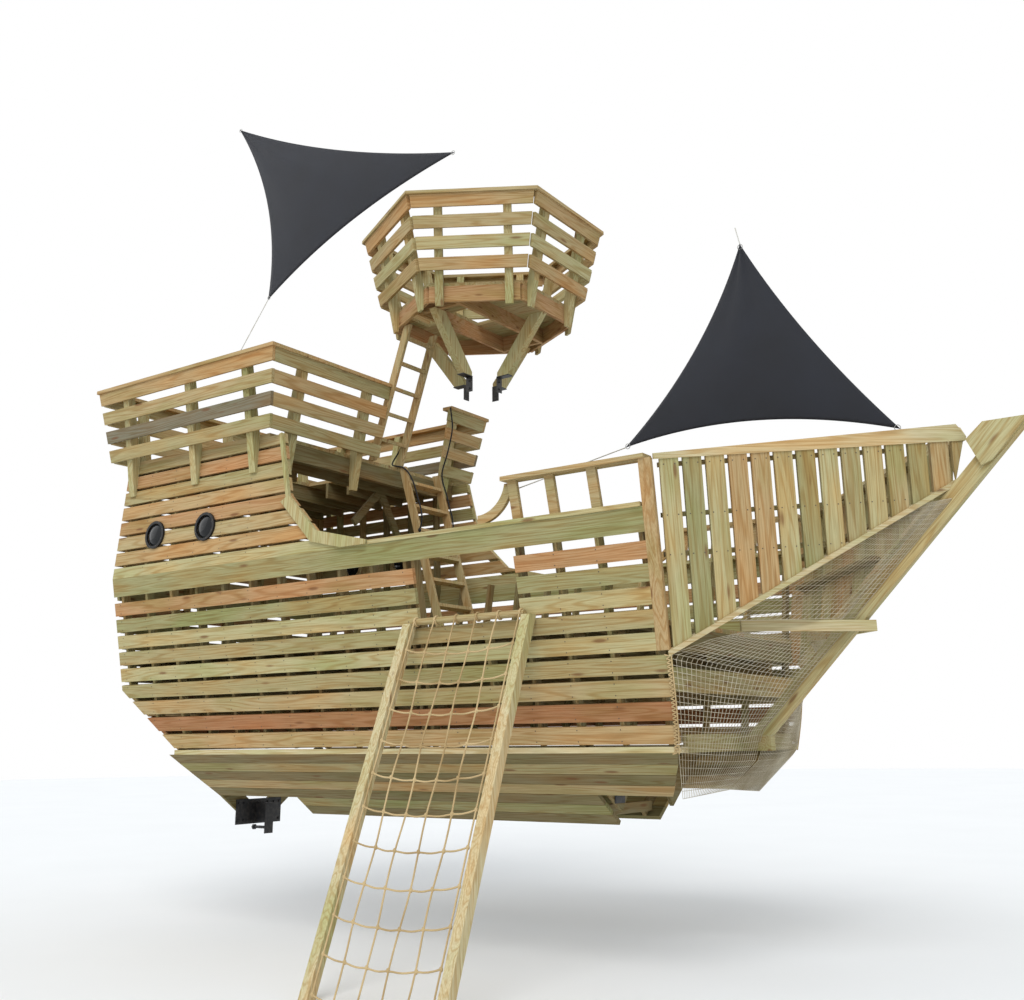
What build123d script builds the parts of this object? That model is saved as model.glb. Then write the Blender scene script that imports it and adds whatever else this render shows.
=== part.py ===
from build123d import *
import math
import os

# A timber tree house in the shape of a sailing ship, held up between three trees.
# Millimetres. +X runs to the bow, +Y to port, +Z up. The origin is on the flat,
# tree-side face of the aft steel bracket, on the ship's centreline.

# Timber sizes, as sawn
board_width = 140.0
board_thickness = 38.0
deck_thickness = 38.0
stud_depth = 89.0
stud_thickness = 38.0
joist_depth = 184.0
beam_depth = 235.0
post_size = 89.0

# Where the hull lies from the origin: the bow corner, the chine and the ground
hull_bow_x = 5700.0
chine_z = 830.0
ground_z = -920.0

# Hull
hull_length = 6680.0
half_beam = 1200.0
hull_flare = 12.0
hull_pitch = 178.0
hull_rows = 9
bow_rake = 2.8
rib_spacing = 406.0
chine_strip = 46.0
chine_depth = 140.0
band_start = 1652.0
band_width = 200.0
corner_width = 110.0
stern_rise = 640.0
stern_cut = 780.0
bilge_slope = 35.7
bilge_pitch = 146.5
bilge_rows = 7
bilge_bow_rows = 4
bilge_stern_rows = 5
bilge_short_bow = 1030.0
bilge_short_stern = 4670.0
bilge_stern_reach = 5988.0
bilge_bow_step = 80.0
bilge_stern_step = 30.0
frame_head = 150.0
frame_first = 1180.0
frame_spacing = 1180.0
frame_count = 4
stern_frame_foot = 1215.0
fore_frame_forward = 960.0
fore_frame_foot = 880.0

# Main deck, entrance and the wells that the trunks pass through
deck_height = 950.0
deck_gap = 6.0
gate_forward = 1300.0
gate_width = 1110.0
gate_rows = 3
aft_well = (5300.0, 0.0, 860.0)
mast_well = (3208.0, 620.0, 620.0)
fore_well = (560.0, -180.0, 860.0)
beam_offset = 920.0

# Cabin
wall_pitch = 170.0
wall_rows = 7
wall_lean = 2.0
stern_lean = 3.5
cabin_height = 1270.0
trim_width = 115.0
porthole_radius = 122.0
porthole_rim = 28.0
porthole_height = 425.0
porthole_places = (-6010.0, -5200.0)
opening_line = [(-2900.0, 40.0), (-3560.0, 200.0), (-3960.0, 600.0), (-4120.0, 1270.0)]

# Poop deck and its rail
poop_front = 4333.0
rail_pitch = 222.0
rail_rows = 4
rail_flare = 10.0
rail_lift = 5.0
tail_drop = 400.0
tail_root = 40.0
side_post_steps = (130.0, 1180.0)
front_post_inset = 190.0
end_post_inset = 235.0
stern_post_inset = 250.0
gap_post_inset = 280.0
ladder_post_inset = 160.0
ladder_gap_start = -20.0
ladder_gap_width = 1110.0
poop_ladder_y = 775.0
poop_ladder_width = 650.0
poop_ladder_foot = 743.0
poop_ladder_head = 83.0

# Bow
fore_rail_length = 1290.0
fore_rail_slope = 2224.0
sweep_centre = (-1650.0, 2220.0)
sweep_radii = (290.0, 370.0)
forefoot_reach = 260.0
forefoot_height = 121.0
foot_beam_height = 138.0
bow_beam_low = 410.0
stem_foot = (205.0, 125.0)
stem_slope = 45.1
stem_low = 77.0
stem_top = 2455.0
stem_width = 89.0
stem_depth = 140.0
panel_foot = (36.0, 735.0)
panel_tip = (2100.0, 2420.0)
panel_lean = 3.9
panel_pitch = 185.0
panel_first = 17.0
panel_gap = 35.0
panel_height = 1470.0
trim_rise = 0.478
trim_start = -5.0
bow_rail_lines = [(720.0, 1420.0), (1028.0, 2000.0), (1425.0, 2000.0)]
bow_cap_line = [(-14.0, 46.0), (2483.0, 137.0), (2565.0, 27.0)]
ledge_height = 967.0
ledge_back = (362.0, -732.0)
ledge_tip = (1235.0, 40.0)
ledge_shift = 25.0
head_outline = [(2110.0, 2325.0), (2255.0, 2450.0), (2600.0, 2450.0), (2290.0, 2135.0), (2205.0, 2100.0)]

# Crow's nest
nest_place = (3208.0, 623.0)
nest_turn = 1.2
nest_radius = 1420.0
nest_height = 4863.0
nest_flare = 12.0
nest_pitch = 228.6
nest_lift = 95.0
nest_tail = 370.0
nest_well = 520.0
nest_hatch = (-540.0, -300.0, 460.0, 500.0)
nest_joist_offset = 280.0
nest_post_offset = 383.0
nest_ladder_y = 235.0
nest_ladder_width = 500.0
nest_brace_foot = 4005.0
nest_brace_turn = -2.0
nest_brace_radii = (300.0, 800.0)
mast_radius = 235.0

# Climbing frame
climb_feet = (2359.0, 1096.0)
climb_heads = (2477.0, 1191.0)
climb_reach = 1517.0
climb_top_out = 280.0
climb_top = 1037.0
climb_past = 25.0
climb_bar_radius = 30.0
climb_bar_height = 1077.0
net_columns = 6
net_rows = 11
net_rope = 14.0

# Values worked out from the ones above
FLARE = math.radians(hull_flare)
LEAN = math.radians(wall_lean)
STERN = math.radians(stern_lean)
BILGE = math.radians(bilge_slope)
RAIL = math.radians(rail_flare)
NEST = math.radians(nest_flare)
STEM = math.radians(stem_slope)
slope_top = band_start + band_width
gap_width = hull_pitch - board_width
rake = math.tan(math.radians(bow_rake))
slack = 40.0
joint = 0.6


def hull_point(forward, slope, depth=0.0):
    """A point of the starboard hull side: forward of the bow corner, up the slope, inboard."""
    y = -half_beam - slope * math.sin(FLARE) + depth * math.cos(FLARE)
    z = chine_z + slope * math.cos(FLARE) + depth * math.sin(FLARE)
    return (hull_bow_x + forward, y, z)


knuckle = hull_point(0, slope_top)
sheer_z = knuckle[2]
deck_top_z = chine_z + deck_height
wall_top_z = sheer_z + cabin_height * math.cos(LEAN)
poop_top_z = wall_top_z + deck_thickness
poop_half = -knuckle[1] - cabin_height * math.sin(LEAN)
poop_front_x = hull_bow_x - poop_front
stern_x = hull_bow_x - hull_length
poop_stern_x = stern_x + cabin_height * math.tan(STERN)

side_plane = Plane(
    origin=hull_point(0, 0), x_dir=(1, 0, 0), z_dir=(0, -math.cos(FLARE), -math.sin(FLARE)),
)
wall_plane = Plane(
    origin=knuckle, x_dir=(1, 0, 0), z_dir=(0, -math.cos(LEAN), math.sin(LEAN)),
)


def level(z):
    """The level plane at a height."""
    return Plane.XY.offset(z)


def timber(start, end, width, depth, face=(0, 0, 1)):
    """A straight timber from start to end, its depth along the face direction."""
    run = Vector(*end) - Vector(*start)
    across = Vector(*face).cross(run)
    with BuildPart() as bar:
        with BuildSketch(Plane(origin=start, x_dir=across, z_dir=run)):
            Rectangle(width, depth)
        extrude(amount=run.length)
    return bar.part


def panel(plane, outline, thickness, gaps=(), gap=0.0, upright=False, notches=()):
    """Boards of one thickness behind a plane, their outline cut by gaps and notches."""
    with BuildPart() as boards:
        with BuildSketch(plane):
            with BuildLine():
                Polyline(*outline, close=True)
            make_face()
            for place in gaps:
                with Locations((place, 0) if upright else (0, place)):
                    Rectangle(
                        gap if upright else 3 * hull_length,
                        3 * hull_length if upright else gap,
                        mode=Mode.SUBTRACT,
                    )
            for left, right, low, high in notches:
                with Locations(((left + right) / 2, (low + high) / 2)):
                    Rectangle(right - left, high - low, mode=Mode.SUBTRACT)
        extrude(amount=-thickness)
    return boards.part


def trimmed(pieces, cuts):
    """Pieces cut by planes, keeping the side that each plane's normal points to."""
    with BuildPart() as kept:
        add(pieces)
        for cut in cuts:
            split(bisect_by=cut, keep=Keep.TOP)
    return kept.part


def below(z):
    """A level plane whose normal points down, to keep what lies below it."""
    return Plane(origin=(0, 0, z), x_dir=(1, 0, 0), z_dir=(0, 0, -1))


def write(pieces, name):
    """Labels the finished pieces and writes them as one node."""
    with BuildPart() as node:
        add(pieces)
    node.part.label = name
    export_step(node.part, "parts/" + name + ".step")


def port_twin(pieces):
    """The port twin of starboard pieces."""
    with BuildPart() as twin:
        mirror(pieces, about=Plane.XZ)
    return twin.part


def both_sides(pieces, name):
    """Writes the starboard pieces and their port twins as one node."""
    with BuildPart() as pair:
        add(pieces)
        mirror(about=Plane.XZ)
    write(pair.part, name)


os.makedirs("parts", exist_ok=True)

# Hull sides: level boards with open gaps between them, cut on a slant at the stern and
# shorter above the foot of the bow panel, where the corner board covers their ends
row_gaps = [hull_pitch * row for row in range(1, hull_rows)]
side_foot = gap_width / 2
side_head = hull_pitch * hull_rows - gap_width / 2
corner_foot_slope = hull_pitch * round(panel_foot[1] / hull_pitch)
side_outline = [
    (side_foot * rake, side_foot),
    (corner_foot_slope * rake, corner_foot_slope),
    (corner_foot_slope * rake - corner_width - joint, corner_foot_slope),
    (side_head * rake - corner_width - joint, side_head),
    (-hull_length, side_head),
    (-hull_length, stern_rise),
    (-hull_length + stern_cut, side_foot),
]
gate_foot = hull_pitch * (hull_rows - gate_rows)
gate_notch = (-gate_forward - gate_width, -gate_forward, gate_foot, side_head + gap_width)

write(port_twin(panel(side_plane, side_outline, board_thickness, row_gaps, gap_width)), "port_hull_boards")
write(
    panel(side_plane, side_outline, board_thickness, row_gaps, gap_width, notches=[gate_notch]),
    "starboard_hull_boards",
)

# Corner boards: one upright board a side that closes the hull at the bow
corner_low = corner_foot_slope + gap_width / 2
corner_high = fore_rail_slope + slack
corner_outline = [
    (corner_low * rake, corner_low), (corner_high * rake, corner_high),
    (corner_high * rake - corner_width, corner_high), (corner_low * rake - corner_width, corner_low),
]
plate_z = hull_point(0, fore_rail_slope)[2]
both_sides(
    trimmed(panel(side_plane, corner_outline, board_thickness), [below(plate_z)]), "bow_corner_boards",
)

# Ribs: upright studs behind the boards, from the chine to the top of the sheer band
rib_foot_gap = 30.0
rib_count = int((hull_length - 2 * stud_depth) // rib_spacing) + 1
rib_places = [-stud_depth - rib_spacing * rib for rib in range(rib_count)]
gate_left = -gate_forward - gate_width
gate_sides = [-gate_forward + stud_thickness / 2, gate_left - stud_thickness / 2]
gate_places = [p for p in rib_places if gate_left - stud_depth < p < -gate_forward + stud_depth]


def rib_foot(place):
    """How far up the slope a rib starts: higher where the stern is cut away."""
    cut = -place + stud_thickness - (hull_length - stern_cut)
    return max(0.0, cut * stern_rise / stern_cut + rib_foot_gap)


def ribs(places, head):
    """Upright studs behind the hull boards at the places given."""
    middle = board_thickness + stud_depth / 2
    bars = [
        timber(
            hull_point(place, rib_foot(place), middle), hull_point(place, head, middle),
            stud_thickness, stud_depth, (0, math.cos(FLARE), math.sin(FLARE)),
        )
        for place in places
    ]
    return trimmed(bars, [below(sheer_z)])


long_ribs = [p for p in rib_places if p not in gate_places] + gate_sides
write(port_twin(ribs(rib_places, slope_top + slack)), "port_ribs")
write(
    [ribs(long_ribs, slope_top + slack), ribs(gate_places[1:-1], gate_foot - gap_width / 2)],
    "starboard_ribs",
)

# Sheer bands: one wide board a side along the whole hull, with a cap ahead of the cabin
band_outline = [
    (band_start * rake - corner_width - joint, band_start),
    (slope_top * rake - corner_width - joint, slope_top + slack),
    (-hull_length, slope_top + slack), (-hull_length, band_start),
]
both_sides(trimmed(panel(side_plane, band_outline, board_thickness), [below(sheer_z)]), "sheer_bands")

cap_overhang = 12.0
cap_clear = 5.0
cap_line_y = knuckle[1] + board_width / 2 - cap_overhang
cap_front_x = hull_bow_x + band_start * rake - corner_width - cap_clear
sheer_cap = timber(
    (hull_bow_x + opening_line[0][0] + joint, cap_line_y, sheer_z + board_thickness / 2),
    (cap_front_x, cap_line_y, sheer_z + board_thickness / 2),
    board_width, board_thickness,
)
both_sides(sheer_cap, "sheer_caps")

# Chine boards: laid flat, their edge showing as a pale strip along the turn of the hull
chine_y = -half_beam + chine_depth / 2
chine_board = timber(
    (stern_x + stern_cut, chine_y, chine_z - chine_strip / 2),
    (hull_bow_x, chine_y, chine_z - chine_strip / 2),
    chine_depth, chine_strip,
)
both_sides(chine_board, "chine_boards")

# Bilge: close boards that slope in under the hull. Four rows run to the bow and five to
# the stern, where their ends step inward, and the rest stop short of the trunks.
bilge_gap = bilge_pitch - board_width
bilge_plane = Plane(
    origin=(hull_bow_x, -half_beam, chine_z - chine_strip),
    x_dir=(1, 0, 0), z_dir=(0, -math.sin(BILGE), -math.cos(BILGE)),
)


def bilge_row(row):
    """One bilge board, its end on a slant where it reaches the bow or the stern."""
    head = board_thickness if row == 0 else -bilge_pitch * row - bilge_gap / 2
    foot = -bilge_pitch * (row + 1) + bilge_gap / 2
    fronts = [-bilge_bow_step * step for step in (row, row + 1)]
    backs = [-bilge_stern_reach + bilge_stern_step * step for step in (row, row + 1)]
    if row >= bilge_bow_rows:
        fronts = [-bilge_short_bow, -bilge_short_bow]
    if row >= bilge_stern_rows:
        backs = [-bilge_short_stern, -bilge_short_stern]
    outline = [(fronts[0], head), (fronts[1], foot), (backs[1], foot), (backs[0], head)]
    return panel(bilge_plane, outline, board_thickness)


bilge_boards = [bilge_row(row) for row in range(bilge_rows)]
starboard_bilge = trimmed(bilge_boards, [below(chine_z - chine_strip)])
write(starboard_bilge, "starboard_bilge_boards")
write(port_twin(starboard_bilge), "port_bilge_boards")


# Bottom frames: a slanted timber up the inside of each bilge, tied across the open keel.
# The frames next to the aft and fore trunks are deeper and run on below the boards.
def bilge_point(forward, down, depth):
    """A point of the starboard bilge: forward of the bow corner, down the slope, inboard."""
    y = -half_beam + down * math.cos(BILGE) + depth * math.sin(BILGE)
    z = chine_z - chine_strip - down * math.sin(BILGE) + depth * math.cos(BILGE)
    return (hull_bow_x + forward, y, z)


def bilge_frame(forward, foot, depth):
    """A frame timber on the inside of the bilge boards."""
    middle = board_thickness + depth / 2
    return timber(
        bilge_point(forward, frame_head, middle), bilge_point(forward, foot, middle),
        stud_thickness, depth, (0, math.sin(BILGE), math.cos(BILGE)),
    )


bilge_foot = bilge_pitch * bilge_rows
stern_frame_place = -hull_length + stern_cut
fore_frame_place = -fore_frame_forward
frame_places = [-frame_first - frame_spacing * frame for frame in range(frame_count)]
frames = [bilge_frame(place, bilge_foot, stud_depth) for place in frame_places]
stern_frame = bilge_frame(stern_frame_place, stern_frame_foot, joist_depth)
frames.append(trimmed(stern_frame, [below(chine_z - joint)]))
frames.append(bilge_frame(fore_frame_place, fore_frame_foot, joist_depth))
with BuildPart() as bottom_frames:
    add(frames)
    mirror(about=Plane.XZ)
    for place in frame_places:
        tie = bilge_point(
            place + stud_thickness + joint, bilge_foot - stud_depth, board_thickness + stud_depth / 2,
        )
        add(timber(tie, (tie[0], -tie[1], tie[2]), stud_thickness, stud_depth))
write(bottom_frames.part, "bottom_frames")

# Stern: level boards across the transom and down the slanted counter below it
edge_inset = board_thickness / math.cos(FLARE)


def hull_half(slope):
    """Half the clear width between the hull boards at a slope."""
    return half_beam + slope * math.sin(FLARE) - edge_inset


rise_z = stern_rise * math.cos(FLARE)
top_z = sheer_z - chine_z
transom_plane = Plane(origin=(stern_x, 0, chine_z), x_dir=(0, -1, 0), z_dir=(-1, 0, 0))
row_rise = hull_pitch * math.cos(FLARE)
transom_outline = [
    (-hull_half(stern_rise) + joint, rise_z), (hull_half(stern_rise) - joint, rise_z),
    (hull_half(slope_top) - joint, top_z), (-hull_half(slope_top) + joint, top_z),
]
first_transom_gap = math.ceil(stern_rise / hull_pitch)
transom_gaps = [row_rise * row for row in range(first_transom_gap, hull_rows + 1)]
counter_run = math.hypot(stern_cut, rise_z)
counter_plane = Plane(
    origin=(stern_x + stern_cut, 0, chine_z), x_dir=(0, -1, 0), z_dir=(-rise_z, 0, -stern_cut),
)
counter_inset = 4.0
counter_rows = int(counter_run // hull_pitch)
counter_outline = [
    (-hull_half(0) + counter_inset, 0), (hull_half(0) - counter_inset, 0),
    (hull_half(stern_rise) - counter_inset, counter_run - board_thickness),
    (-hull_half(stern_rise) + counter_inset, counter_run - board_thickness),
]
counter_gaps = [hull_pitch * row for row in range(1, counter_rows + 1)]
write(
    [
        panel(transom_plane, transom_outline, board_thickness, transom_gaps, gap_width),
        panel(counter_plane, counter_outline, board_thickness, counter_gaps, gap_width),
    ],
    "stern_boards",
)

# Stern studs: uprights behind the transom and slanted ones behind the counter
stern_stud_places = (-600.0, 0.0, 600.0)
counter_stud_ends = (150.0, 170.0)


def counter_point(y, along, depth):
    """A point of the counter: across, up its slope from the chine, inboard."""
    place = counter_plane.from_local_coords(Vector(-y, along, -depth))
    return tuple(place)


stern_studs = []
for y in stern_stud_places:
    stern_studs.append(timber(
        (stern_x + board_thickness + stud_depth / 2, y, chine_z + rise_z + stud_depth),
        (stern_x + board_thickness + stud_depth / 2, y, sheer_z),
        stud_thickness, stud_depth, (1, 0, 0),
    ))
    stern_studs.append(timber(
        counter_point(y, counter_stud_ends[0], board_thickness + stud_depth / 2),
        counter_point(y, counter_run - counter_stud_ends[1], board_thickness + stud_depth / 2),
        stud_thickness, stud_depth, (rise_z, 0, stern_cut),
    ))
write(stern_studs, "stern_studs")

# Cabin walls: level boards on studs, the side walls cut back along the open front
wall_first = wall_pitch - slack
wall_gaps = [wall_first + wall_pitch * row for row in range(wall_rows)]
wall_gap = wall_pitch - board_width
wall_cuts = [level(sheer_z), below(wall_top_z)]
wall_outline = [
    (-hull_length, -slack), (opening_line[0][0], -slack), *opening_line[:3],
    (opening_line[3][0], cabin_height + slack),
    (-hull_length + (cabin_height + slack) * math.tan(STERN), cabin_height + slack),
    (-hull_length, 0),
]
with BuildPart() as cabin_wall:
    add(trimmed(panel(wall_plane, wall_outline, board_thickness, wall_gaps, wall_gap), wall_cuts))
    with BuildSketch(wall_plane):
        with Locations(*[(place, porthole_height) for place in porthole_places]):
            Circle(porthole_radius)
    extrude(amount=-board_thickness, mode=Mode.SUBTRACT)
write(cabin_wall.part, "starboard_cabin_wall")
write(port_twin(cabin_wall.part), "port_cabin_wall")

# Portholes: a round rim on the wall and a thin bulging pane inside it
rim_depth = 24.0
pane_bulge = 40.0
pane_thickness = 5.0
pane_radius = porthole_radius - 1.0
dome_radius = (pane_radius ** 2 + pane_bulge ** 2) / (2 * pane_bulge)
pane_places = [
    wall_plane * Location((place, porthole_height, 0)) for place in porthole_places
]
with BuildPart() as porthole_rims:
    for spot in pane_places:
        with BuildSketch(spot):
            Circle(porthole_radius + porthole_rim)
            Circle(porthole_radius, mode=Mode.SUBTRACT)
        extrude(amount=rim_depth)
both_sides(porthole_rims.part, "porthole_rims")


def pane(spot):
    """One dome of even thickness, turned about the porthole's axis."""
    inner = dome_radius - pane_thickness
    drop = dome_radius - pane_bulge
    with BuildPart() as dome:
        with Locations(spot):
            with Locations((0, 0, -drop)):
                Sphere(dome_radius)
                Sphere(inner, mode=Mode.SUBTRACT)
    face = Plane(spot)
    with BuildPart() as cup:
        add(dome.part)
        split(bisect_by=face, keep=Keep.TOP)
    return cup.part


both_sides([pane(spot) for spot in pane_places], "porthole_panes")


# Opening trims: flat boards over the ends of the wall boards, following the open front
def strip_boards(points, width):
    """Flat boards along a bent line, mitred with a narrow joint, on one side of it."""
    ends = []
    runs = [Vector(b[0] - a[0], b[1] - a[1]).normalized() for a, b in zip(points, points[1:])]
    for index, place in enumerate(points):
        before = runs[max(index - 1, 0)]
        after = runs[min(index, len(runs) - 1)]
        middle = (before + after).normalized()
        reach = width / middle.dot(before)
        ends.append((place[0] - middle.Y * reach, place[1] + middle.X * reach))
    boards = []
    for index, run in enumerate(runs):
        low = Vector(*points[index]) + run * joint / 2
        high = Vector(*points[index + 1]) - run * joint / 2
        low_end = Vector(*ends[index]) + run * joint / 2
        high_end = Vector(*ends[index + 1]) - run * joint / 2
        boards.append([(p.X, p.Y) for p in (low, high, high_end, low_end)])
    return boards


trim_plane = wall_plane.offset(board_thickness)
trim_outlines = strip_boards(opening_line, trim_width)[:2] + strip_boards(opening_line, stud_thickness)[2:]
trim_pieces = [panel(trim_plane, corners, board_thickness) for corners in trim_outlines]
both_sides(trimmed(trim_pieces, [level(sheer_z + joint), below(wall_top_z)]), "opening_trims")


# Cabin studs: uprights inside the side and stern walls, standing on the ribs
def wall_point(forward, slope, depth):
    """A point of the starboard cabin wall: forward of the bow corner, up the wall, inboard."""
    y = knuckle[1] + slope * math.sin(LEAN) + depth * math.cos(LEAN)
    z = sheer_z + slope * math.cos(LEAN) - depth * math.sin(LEAN)
    return (hull_bow_x + forward, y, z)


def stern_point(y, slope, depth):
    """A point of the cabin's stern wall: across, up the wall, inboard."""
    x = stern_x + slope * math.sin(STERN) + depth * math.cos(STERN)
    z = sheer_z + slope * math.cos(STERN) - depth * math.sin(STERN)
    return (x, y, z)


corner_stud = -hull_length + board_thickness + cabin_height * math.tan(STERN) + stud_thickness / 2 + joint
stud_middle = board_thickness + stud_depth / 2
stern_wall_places = (-500.0, 500.0)
stud_places = [corner_stud] + [
    place for place in rib_places
    if corner_stud + stud_depth < place < opening_line[-1][0] - stud_depth
]
side_studs = [
    timber(
        wall_point(place, -slack, stud_middle), wall_point(place, cabin_height + slack, stud_middle),
        stud_thickness, stud_depth, (0, math.cos(LEAN), -math.sin(LEAN)),
    )
    for place in stud_places
]
wall_studs = [
    timber(
        stern_point(y, -slack, stud_middle), stern_point(y, cabin_height + slack, stud_middle),
        stud_thickness, stud_depth, (math.cos(STERN), 0, -math.sin(STERN)),
    )
    for y in stern_wall_places
]
with BuildPart() as cabin_studs:
    add(side_studs)
    mirror(about=Plane.XZ)
    add(wall_studs)
write(trimmed(cabin_studs.part, wall_cuts), "cabin_studs")

# Stern wall of the cabin
stern_plane = Plane(
    origin=(stern_x, 0, sheer_z), x_dir=(0, -1, 0), z_dir=(-math.cos(STERN), 0, math.sin(STERN)),
)
wall_inset = board_thickness / math.cos(LEAN) + joint
stern_height = cabin_height * math.cos(LEAN) / math.cos(STERN)
wall_taper = math.tan(LEAN) * slack
stern_outline = [
    (knuckle[1] + wall_inset - wall_taper, -slack), (-knuckle[1] - wall_inset + wall_taper, -slack),
    (poop_half - wall_inset - wall_taper, stern_height + slack),
    (-poop_half + wall_inset + wall_taper, stern_height + slack),
]
write(
    trimmed(panel(stern_plane, stern_outline, board_thickness, wall_gaps, wall_gap), wall_cuts),
    "stern_wall",
)

# Decks: boards along the ship with a square well round each trunk
main_holes = [(hull_bow_x - back, y, size) for back, y, size in (aft_well, mast_well, fore_well)]
aft_hole = main_holes[0]


def deck(low_x, high_x, half, top, holes, name):
    """A deck of long boards with square wells cut through."""
    rows = int(2 * half // (board_width + deck_gap))
    gaps = [-half + (board_width + deck_gap) * row for row in range(1, rows + 1)]
    outline = [(low_x, -half), (high_x, -half), (high_x, half), (low_x, half)]
    notches = [(x - size / 2, x + size / 2, y - size / 2, y + size / 2) for x, y, size in holes]
    write(panel(level(top), outline, deck_thickness, gaps, deck_gap, notches=notches), name)


deck_slope = (deck_height - deck_thickness) / math.cos(FLARE)
deck_half = hull_half(deck_slope) - stud_depth / math.cos(FLARE) - joint
deck_stern_x = stern_x + board_thickness + stud_depth + joint
deck(deck_stern_x, hull_bow_x, deck_half, deck_top_z, main_holes, "main_deck")
deck(poop_stern_x, poop_front_x, poop_half, poop_top_z, [aft_hole], "poop_deck")


# Deck frames: joists across, stopped at the wells, on a pair of long beams
def joist_row(x, half, z, depth, holes):
    """One line of joists across the ship, left open where it meets a well."""
    shortest = 60.0
    spans = [(-half, half)]
    for hole_x, hole_y, size in holes:
        if abs(x - hole_x) < (size + stud_thickness) / 2 + 1:
            low = hole_y - size / 2
            high = hole_y + size / 2
            parts = [part for a, b in spans for part in ((a, min(b, low)), (max(a, high), b))]
            spans = [part for part in parts if part[1] - part[0] > shortest]
    return [
        timber((x, low, z - depth / 2), (x, high, z - depth / 2), stud_thickness, depth)
        for low, high in spans
    ]


def joist_places(low_x, high_x):
    """Where the joists stand between two ends, no wider apart than the ribs."""
    count = math.ceil((high_x - low_x - stud_thickness) / rib_spacing)
    step = (high_x - low_x - stud_thickness) / count
    return [low_x + stud_thickness / 2 + step * row for row in range(count + 1)]


def joist_frame(low_x, high_x, half, top, holes):
    """Joists at even spacing between two end joists."""
    places = joist_places(low_x, high_x)
    return [bar for x in places for bar in joist_row(x, half, top, joist_depth, holes)]


joist_top = deck_top_z - deck_thickness
joist_slope = (joist_top - joist_depth - chine_z) / math.cos(FLARE)
main_joist_half = hull_half(joist_slope) - stud_depth / math.cos(FLARE) - joint
write(
    joist_frame(deck_stern_x, hull_bow_x, main_joist_half, joist_top, main_holes),
    "main_deck_joists",
)

wall_studs_half = poop_half - wall_inset - stud_depth - joint
poop_joist_stern = stern_point(0, cabin_height, board_thickness + stud_depth)[0] + joint
poop_joist_front = poop_front_x - stud_thickness - joint
poop_joists = joist_frame(poop_joist_stern, poop_joist_front, wall_studs_half, wall_top_z, [aft_hole])
poop_joists.append(timber(
    (poop_front_x - stud_thickness / 2, -poop_half + wall_inset, wall_top_z - joist_depth / 2),
    (poop_front_x - stud_thickness / 2, poop_half - wall_inset, wall_top_z - joist_depth / 2),
    stud_thickness, joist_depth,
))

# Cabin braces: two knee braces under one of the poop joists, as an upturned V
brace_joist = 5
brace_place = joist_places(poop_joist_stern, poop_joist_front)[brace_joist]
brace_top_z = wall_top_z - joist_depth
cabin_brace_lines = [((177.0, -415.0), (590.0, -7.0)), ((1100.0, -697.0), (650.0, -17.0))]
cabin_braces = []
for foot, head in cabin_brace_lines:
    low = Vector(brace_place, foot[0], brace_top_z + foot[1])
    high = Vector(brace_place, head[0], brace_top_z + head[1])
    past = (high - low).normalized() * stud_depth
    cabin_braces.append(timber(tuple(low), tuple(high + past), stud_depth, stud_thickness, (1, 0, 0)))
write(poop_joists + [trimmed(cabin_braces, [below(brace_top_z - joint / 2)])], "poop_joists")

beam_z = joist_top - joist_depth - beam_depth / 2
beam_start = 300.0
beam_end = 100.0
main_beam = timber(
    (stern_x + beam_start, -beam_offset, beam_z), (hull_bow_x - beam_end, -beam_offset, beam_z),
    2 * stud_thickness, beam_depth,
)
both_sides(main_beam, "main_beams")

# Bow beams: a timber across the open bow end, one at the chine, and the forefoot on it
bow_beam_half = hull_half(bow_beam_low / math.cos(FLARE)) - joint
bow_beam_z = chine_z + bow_beam_low + joist_depth / 2
foot_low_z = chine_z - chine_strip
foot_beam_half = half_beam - chine_depth - joint
foot_beam_x = hull_bow_x - stud_thickness / 2
foot_beam_z = foot_low_z + foot_beam_height / 2
forefoot_z = foot_low_z + forefoot_height / 2
write(
    [
        timber((foot_beam_x, -bow_beam_half, bow_beam_z), (foot_beam_x, bow_beam_half, bow_beam_z),
               stud_thickness, joist_depth),
        timber((foot_beam_x, -foot_beam_half, foot_beam_z), (foot_beam_x, foot_beam_half, foot_beam_z),
               stud_thickness, foot_beam_height),
        timber((hull_bow_x + joint / 2, 0, forefoot_z), (hull_bow_x + forefoot_reach, 0, forefoot_z),
               stem_width, forefoot_height),
    ],
    "bow_beams",
)

# Poop rail: four leaning rows of boards on notched posts, with a cap all round
rail_base_z = poop_top_z + rail_lift
rail_top = rail_pitch * (rail_rows - 1) + board_width
cap_z = rail_base_z + rail_top
tail_low = tail_drop + rail_lift
root_out = tail_root + tail_low * math.tan(RAIL)
rail_step = board_thickness / math.cos(RAIL)
rail_stern = poop_stern_x - root_out
rail_front = poop_front_x + root_out
rail_side = poop_half + root_out
rail_rise = rail_top / math.cos(RAIL)
rail_gap = rail_pitch / math.cos(RAIL) - board_width
rail_gaps = [rail_pitch / math.cos(RAIL) * row - rail_gap / 2 for row in range(1, rail_rows)]
spread = math.sin(RAIL)
side_head_slope = rail_rise + slack

starboard_rail_plane = Plane(
    origin=(0, -rail_side - rail_step, rail_base_z), x_dir=(1, 0, 0),
    z_dir=(0, -math.cos(RAIL), -math.sin(RAIL)),
)
side_rail_outline = [
    (rail_stern - rail_step, 0), (rail_front + rail_step, 0),
    (rail_front + rail_step + side_head_slope * spread, side_head_slope),
    (rail_stern - rail_step - side_head_slope * spread, side_head_slope),
]
side_rail = trimmed(
    panel(starboard_rail_plane, side_rail_outline, board_thickness, rail_gaps, rail_gap), [below(cap_z)],
)
write(side_rail, "poop_rail_starboard")
write(port_twin(side_rail), "poop_rail_port")

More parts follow.
